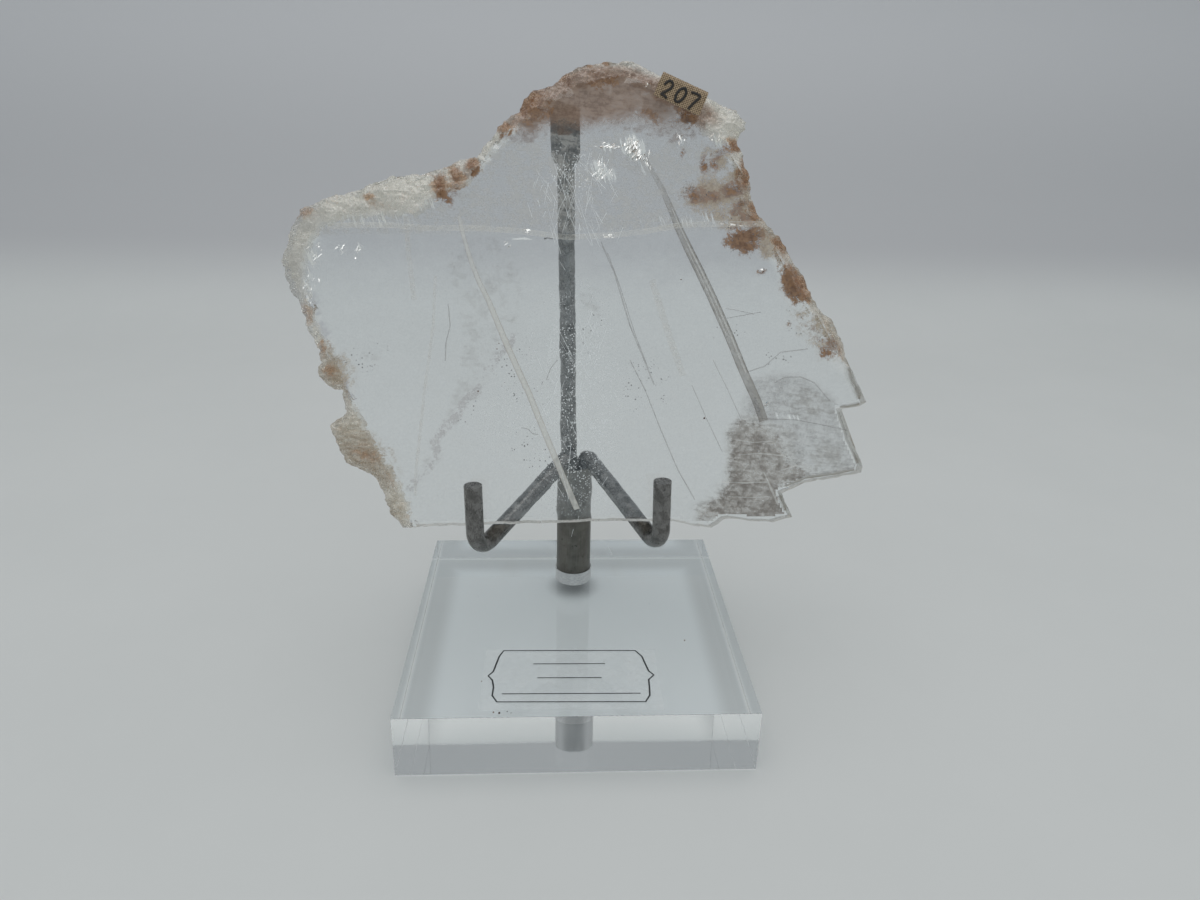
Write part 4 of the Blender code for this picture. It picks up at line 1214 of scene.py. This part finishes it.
tape, tree, shader = new_finish("woven_tape", Roughness=0.85, Specular_IOR_Level=0.2, Sheen_Weight=0.3)
on_tape = add(tree, "ShaderNodeUVMap", uv_map="tape").outputs["UV"]
threads = add(tree, "ShaderNodeSeparateXYZ", {"Vector": on_tape})
warp = sums(tree, "SINE", times(tree, threads.outputs["X"], 2 * math.pi))
weft = sums(tree, "SINE", times(tree, threads.outputs["Y"], 2 * math.pi))
woven = fade(tree, times(tree, warp, weft), -0.7, 0.7)
uneven = patchy(tree, place_of(tree), 2500.0, 0.3, 0.7)
soiled = patchy(tree, place_of(tree), 500.0, 0.4, 0.7)
height = weighed(tree, (woven, 0.7), (uneven, 0.4))
# Painted shade: where the weave and its unevenness lie low, between threads, the tape is painted dark
colour = tint(tree, fade(tree, height, 0.1, 0.9), (0.07, 0.043, 0.023), (0.53, 0.40, 0.26))
colour = tint(tree, times(tree, soiled, 0.35), colour, (0.30, 0.21, 0.13))
feed(shader, Base_Color=colour)
emboss(tree, shader, height, 0.8, 0.00008)
show("woven_tag", tag, [tape], ["number_tag"])

ink, tree, shader = new_finish("pen_ink", Roughness=0.7)
soaked = patchy(tree, place_of(tree), 4000.0, 0.35, 0.75)
feed(shader, Base_Color=tint(tree, soaked, (0.012, 0.012, 0.013), (0.05, 0.04, 0.03)))
number = flat_line("tag_number", NUMBER, INK_RADIUS, 0.3, smooth=True)
number.transform(TAG_PLACE @ Matrix.Translation((0.0002, -0.0004, TAG_THICK + 0.00012)))
show("tag_number", number, [ink])


# Stage: a pale sheet of paper, not part of the object, that lies flat under the stand and curves
# up behind it. Its colour carries painted light and shade, seen on it and through the clear block.
SWEEP_HALF = 1.6
SWEEP_FRONT = -1.2
SWEEP_TURN = 0.28
SWEEP_RADIUS = 0.35
SWEEP_TOP = 1.3
SWEEP_STEPS = 24
BLOCK_HALF = 0.0381
shape = bmesh.new()
profile = [(SWEEP_FRONT, 0.0), (SWEEP_TURN, 0.0)]
for step in range(1, SWEEP_STEPS + 1):
    swing = math.pi / 2 * step / SWEEP_STEPS
    back, up = SWEEP_RADIUS * math.sin(swing), SWEEP_RADIUS * (1 - math.cos(swing))
    profile.append((SWEEP_TURN + back, up))
profile.append((SWEEP_TURN + SWEEP_RADIUS, SWEEP_TOP))
verts = [shape.verts.new((-SWEEP_HALF, y, z - 0.0002)) for y, z in profile]
edges = [shape.edges.new(pair) for pair in zip(verts, verts[1:])]
grown = bmesh.ops.extrude_edge_only(shape, edges=edges)
far = [item for item in grown["geom"] if isinstance(item, bmesh.types.BMVert)]
bmesh.ops.translate(shape, vec=(2 * SWEEP_HALF, 0.0, 0.0), verts=far)
bmesh.ops.recalc_face_normals(shape, faces=shape.faces)
mesh = finished(shape, "sweep")
mesh.shade_smooth()
paper, tree, shader = new_finish("pale_paper", Roughness=0.9, Specular_IOR_Level=0.1)
mottled = patchy(tree, place_of(tree), 14.0, 0.3, 0.7)
colour = tint(tree, mottled, (0.654, 0.673, 0.668), (0.668, 0.686, 0.681))
# Painted light and shade, seen through the block: the sheet is painted a little lighter and bluer
# under it, and painted darker, as shadow, near the block's walls and straight under the tube
on_sheet = add(tree, "ShaderNodeSeparateXYZ", {"Vector": place_of(tree)})
sideways, lengthways = (sums(tree, "ABSOLUTE", on_sheet.outputs[axis]) for axis in "XY")
from_middle = sums(tree, "MAXIMUM", sideways, lengthways)
under_block = fade(tree, from_middle, BLOCK_HALF - 0.001, BLOCK_HALF, 1.0, 0.0)
colour = tint(tree, under_block, colour, (0.675, 0.715, 0.725))
# Painted shadow on the sheet a few millimetres in from the block's walls
painted_shade_by_walls = fade(tree, from_middle, BLOCK_HALF - 0.0085, BLOCK_HALF - 0.0035)
colour = tint(tree, times(tree, painted_shade_by_walls, under_block), colour, (0.525, 0.553, 0.557))
# Painted shadow on the sheet straight under the tube
aside = add(tree, "ShaderNodeVectorMath", {0: place_of(tree), 1: (*HOLE_AXIS, 0.0)}, operation="DISTANCE")
painted_tube_shadow = fade(tree, aside.outputs["Value"], 0.002, 0.0085, 0.62, 0.0)
colour = tint(tree, painted_tube_shadow, colour, (0.14, 0.145, 0.15))
# The block gathers light on a strip close behind it
behind = fade(tree, on_sheet.outputs["Y"], BLOCK_HALF, BLOCK_HALF + 0.001)
behind = times(tree, behind, fade(tree, on_sheet.outputs["Y"], 0.047, 0.058, 1.0, 0.0))
behind = times(tree, behind, fade(tree, sideways, BLOCK_HALF - 0.004, BLOCK_HALF + 0.003, 1.0, 0.0))
colour = tint(tree, behind, colour, (0.87, 0.89, 0.88))
# Painted shade by height: darker above the floor, lighter round the curve, darker high up the back
height = on_sheet.outputs["Z"]
colour = tint(tree, fade(tree, height, 0.006, 0.042), colour, (0.527, 0.535, 0.549))
colour = tint(tree, fade(tree, height, 0.07, 0.20), colour, (0.61, 0.617, 0.632))
colour = tint(tree, fade(tree, height, 0.24, 0.40), colour, (0.515, 0.525, 0.53))
feed(shader, Base_Color=colour)
mesh.materials.append(paper)
sweep = bpy.data.objects.new("sweep", mesh)
bpy.context.scene.collection.objects.link(sweep)

# Light: one broad soft lamp overhead, in pale surroundings that are dimmer and bluer in front,
# where the clear faces and the steel mirror them
scene = bpy.context.scene
world = bpy.data.worlds.new("pale_tent")
world.use_nodes = True
tree = world.node_tree
facing = add(tree, "ShaderNodeTexCoord").outputs["Generated"]
toward = add(tree, "ShaderNodeVectorMath", {0: facing, 1: (0.0, -0.96, 0.26)}, operation="DOT_PRODUCT")
in_front = fade(tree, toward.outputs["Value"], 0.70, 0.94)
shade = tint(tree, in_front, (0.52, 0.53, 0.535), (0.24, 0.30, 0.34))
tree.links.new(shade, tree.nodes["Background"].inputs["Color"])
scene.world = world
lamp = bpy.data.lights.new("overhead", "AREA")
lamp.shape = "SQUARE"
lamp.size = 0.9
lamp.energy = 3.4
lamp.color = (1.0, 0.99, 0.98)
overhead = bpy.data.objects.new("overhead", lamp)
overhead.location = (0.0, -0.05, 0.95)
scene.collection.objects.link(overhead)
scene.view_settings.view_transform = "Standard"
scene.cycles.max_bounces = 24
scene.cycles.transmission_bounces = 20
scene.cycles.transparent_max_bounces = 24
scene.cycles.blur_glossy = 0.0

# Camera: in front of the stand and a little above the crystal, looking down at it through a
# fairly wide lens
VIEW_FROM = Vector((-0.0055036, -0.1802158, 0.1311693))
YAW = 0.0601
PITCH = 0.3854
ROLL = 0.0249
view = bpy.data.cameras.new("view")
view.sensor_width = 36.0
view.lens = 25.74
view.clip_start = 0.01
camera = bpy.data.objects.new("view", view)
camera.matrix_world = (
    Matrix.Translation(VIEW_FROM)
    @ Matrix.Rotation(-YAW, 4, "Z")
    @ Matrix.Rotation(math.pi / 2 - PITCH, 4, "X")
    @ Matrix.Rotation(ROLL, 4, "Z")
)
scene.collection.objects.link(camera)
scene.camera = camera
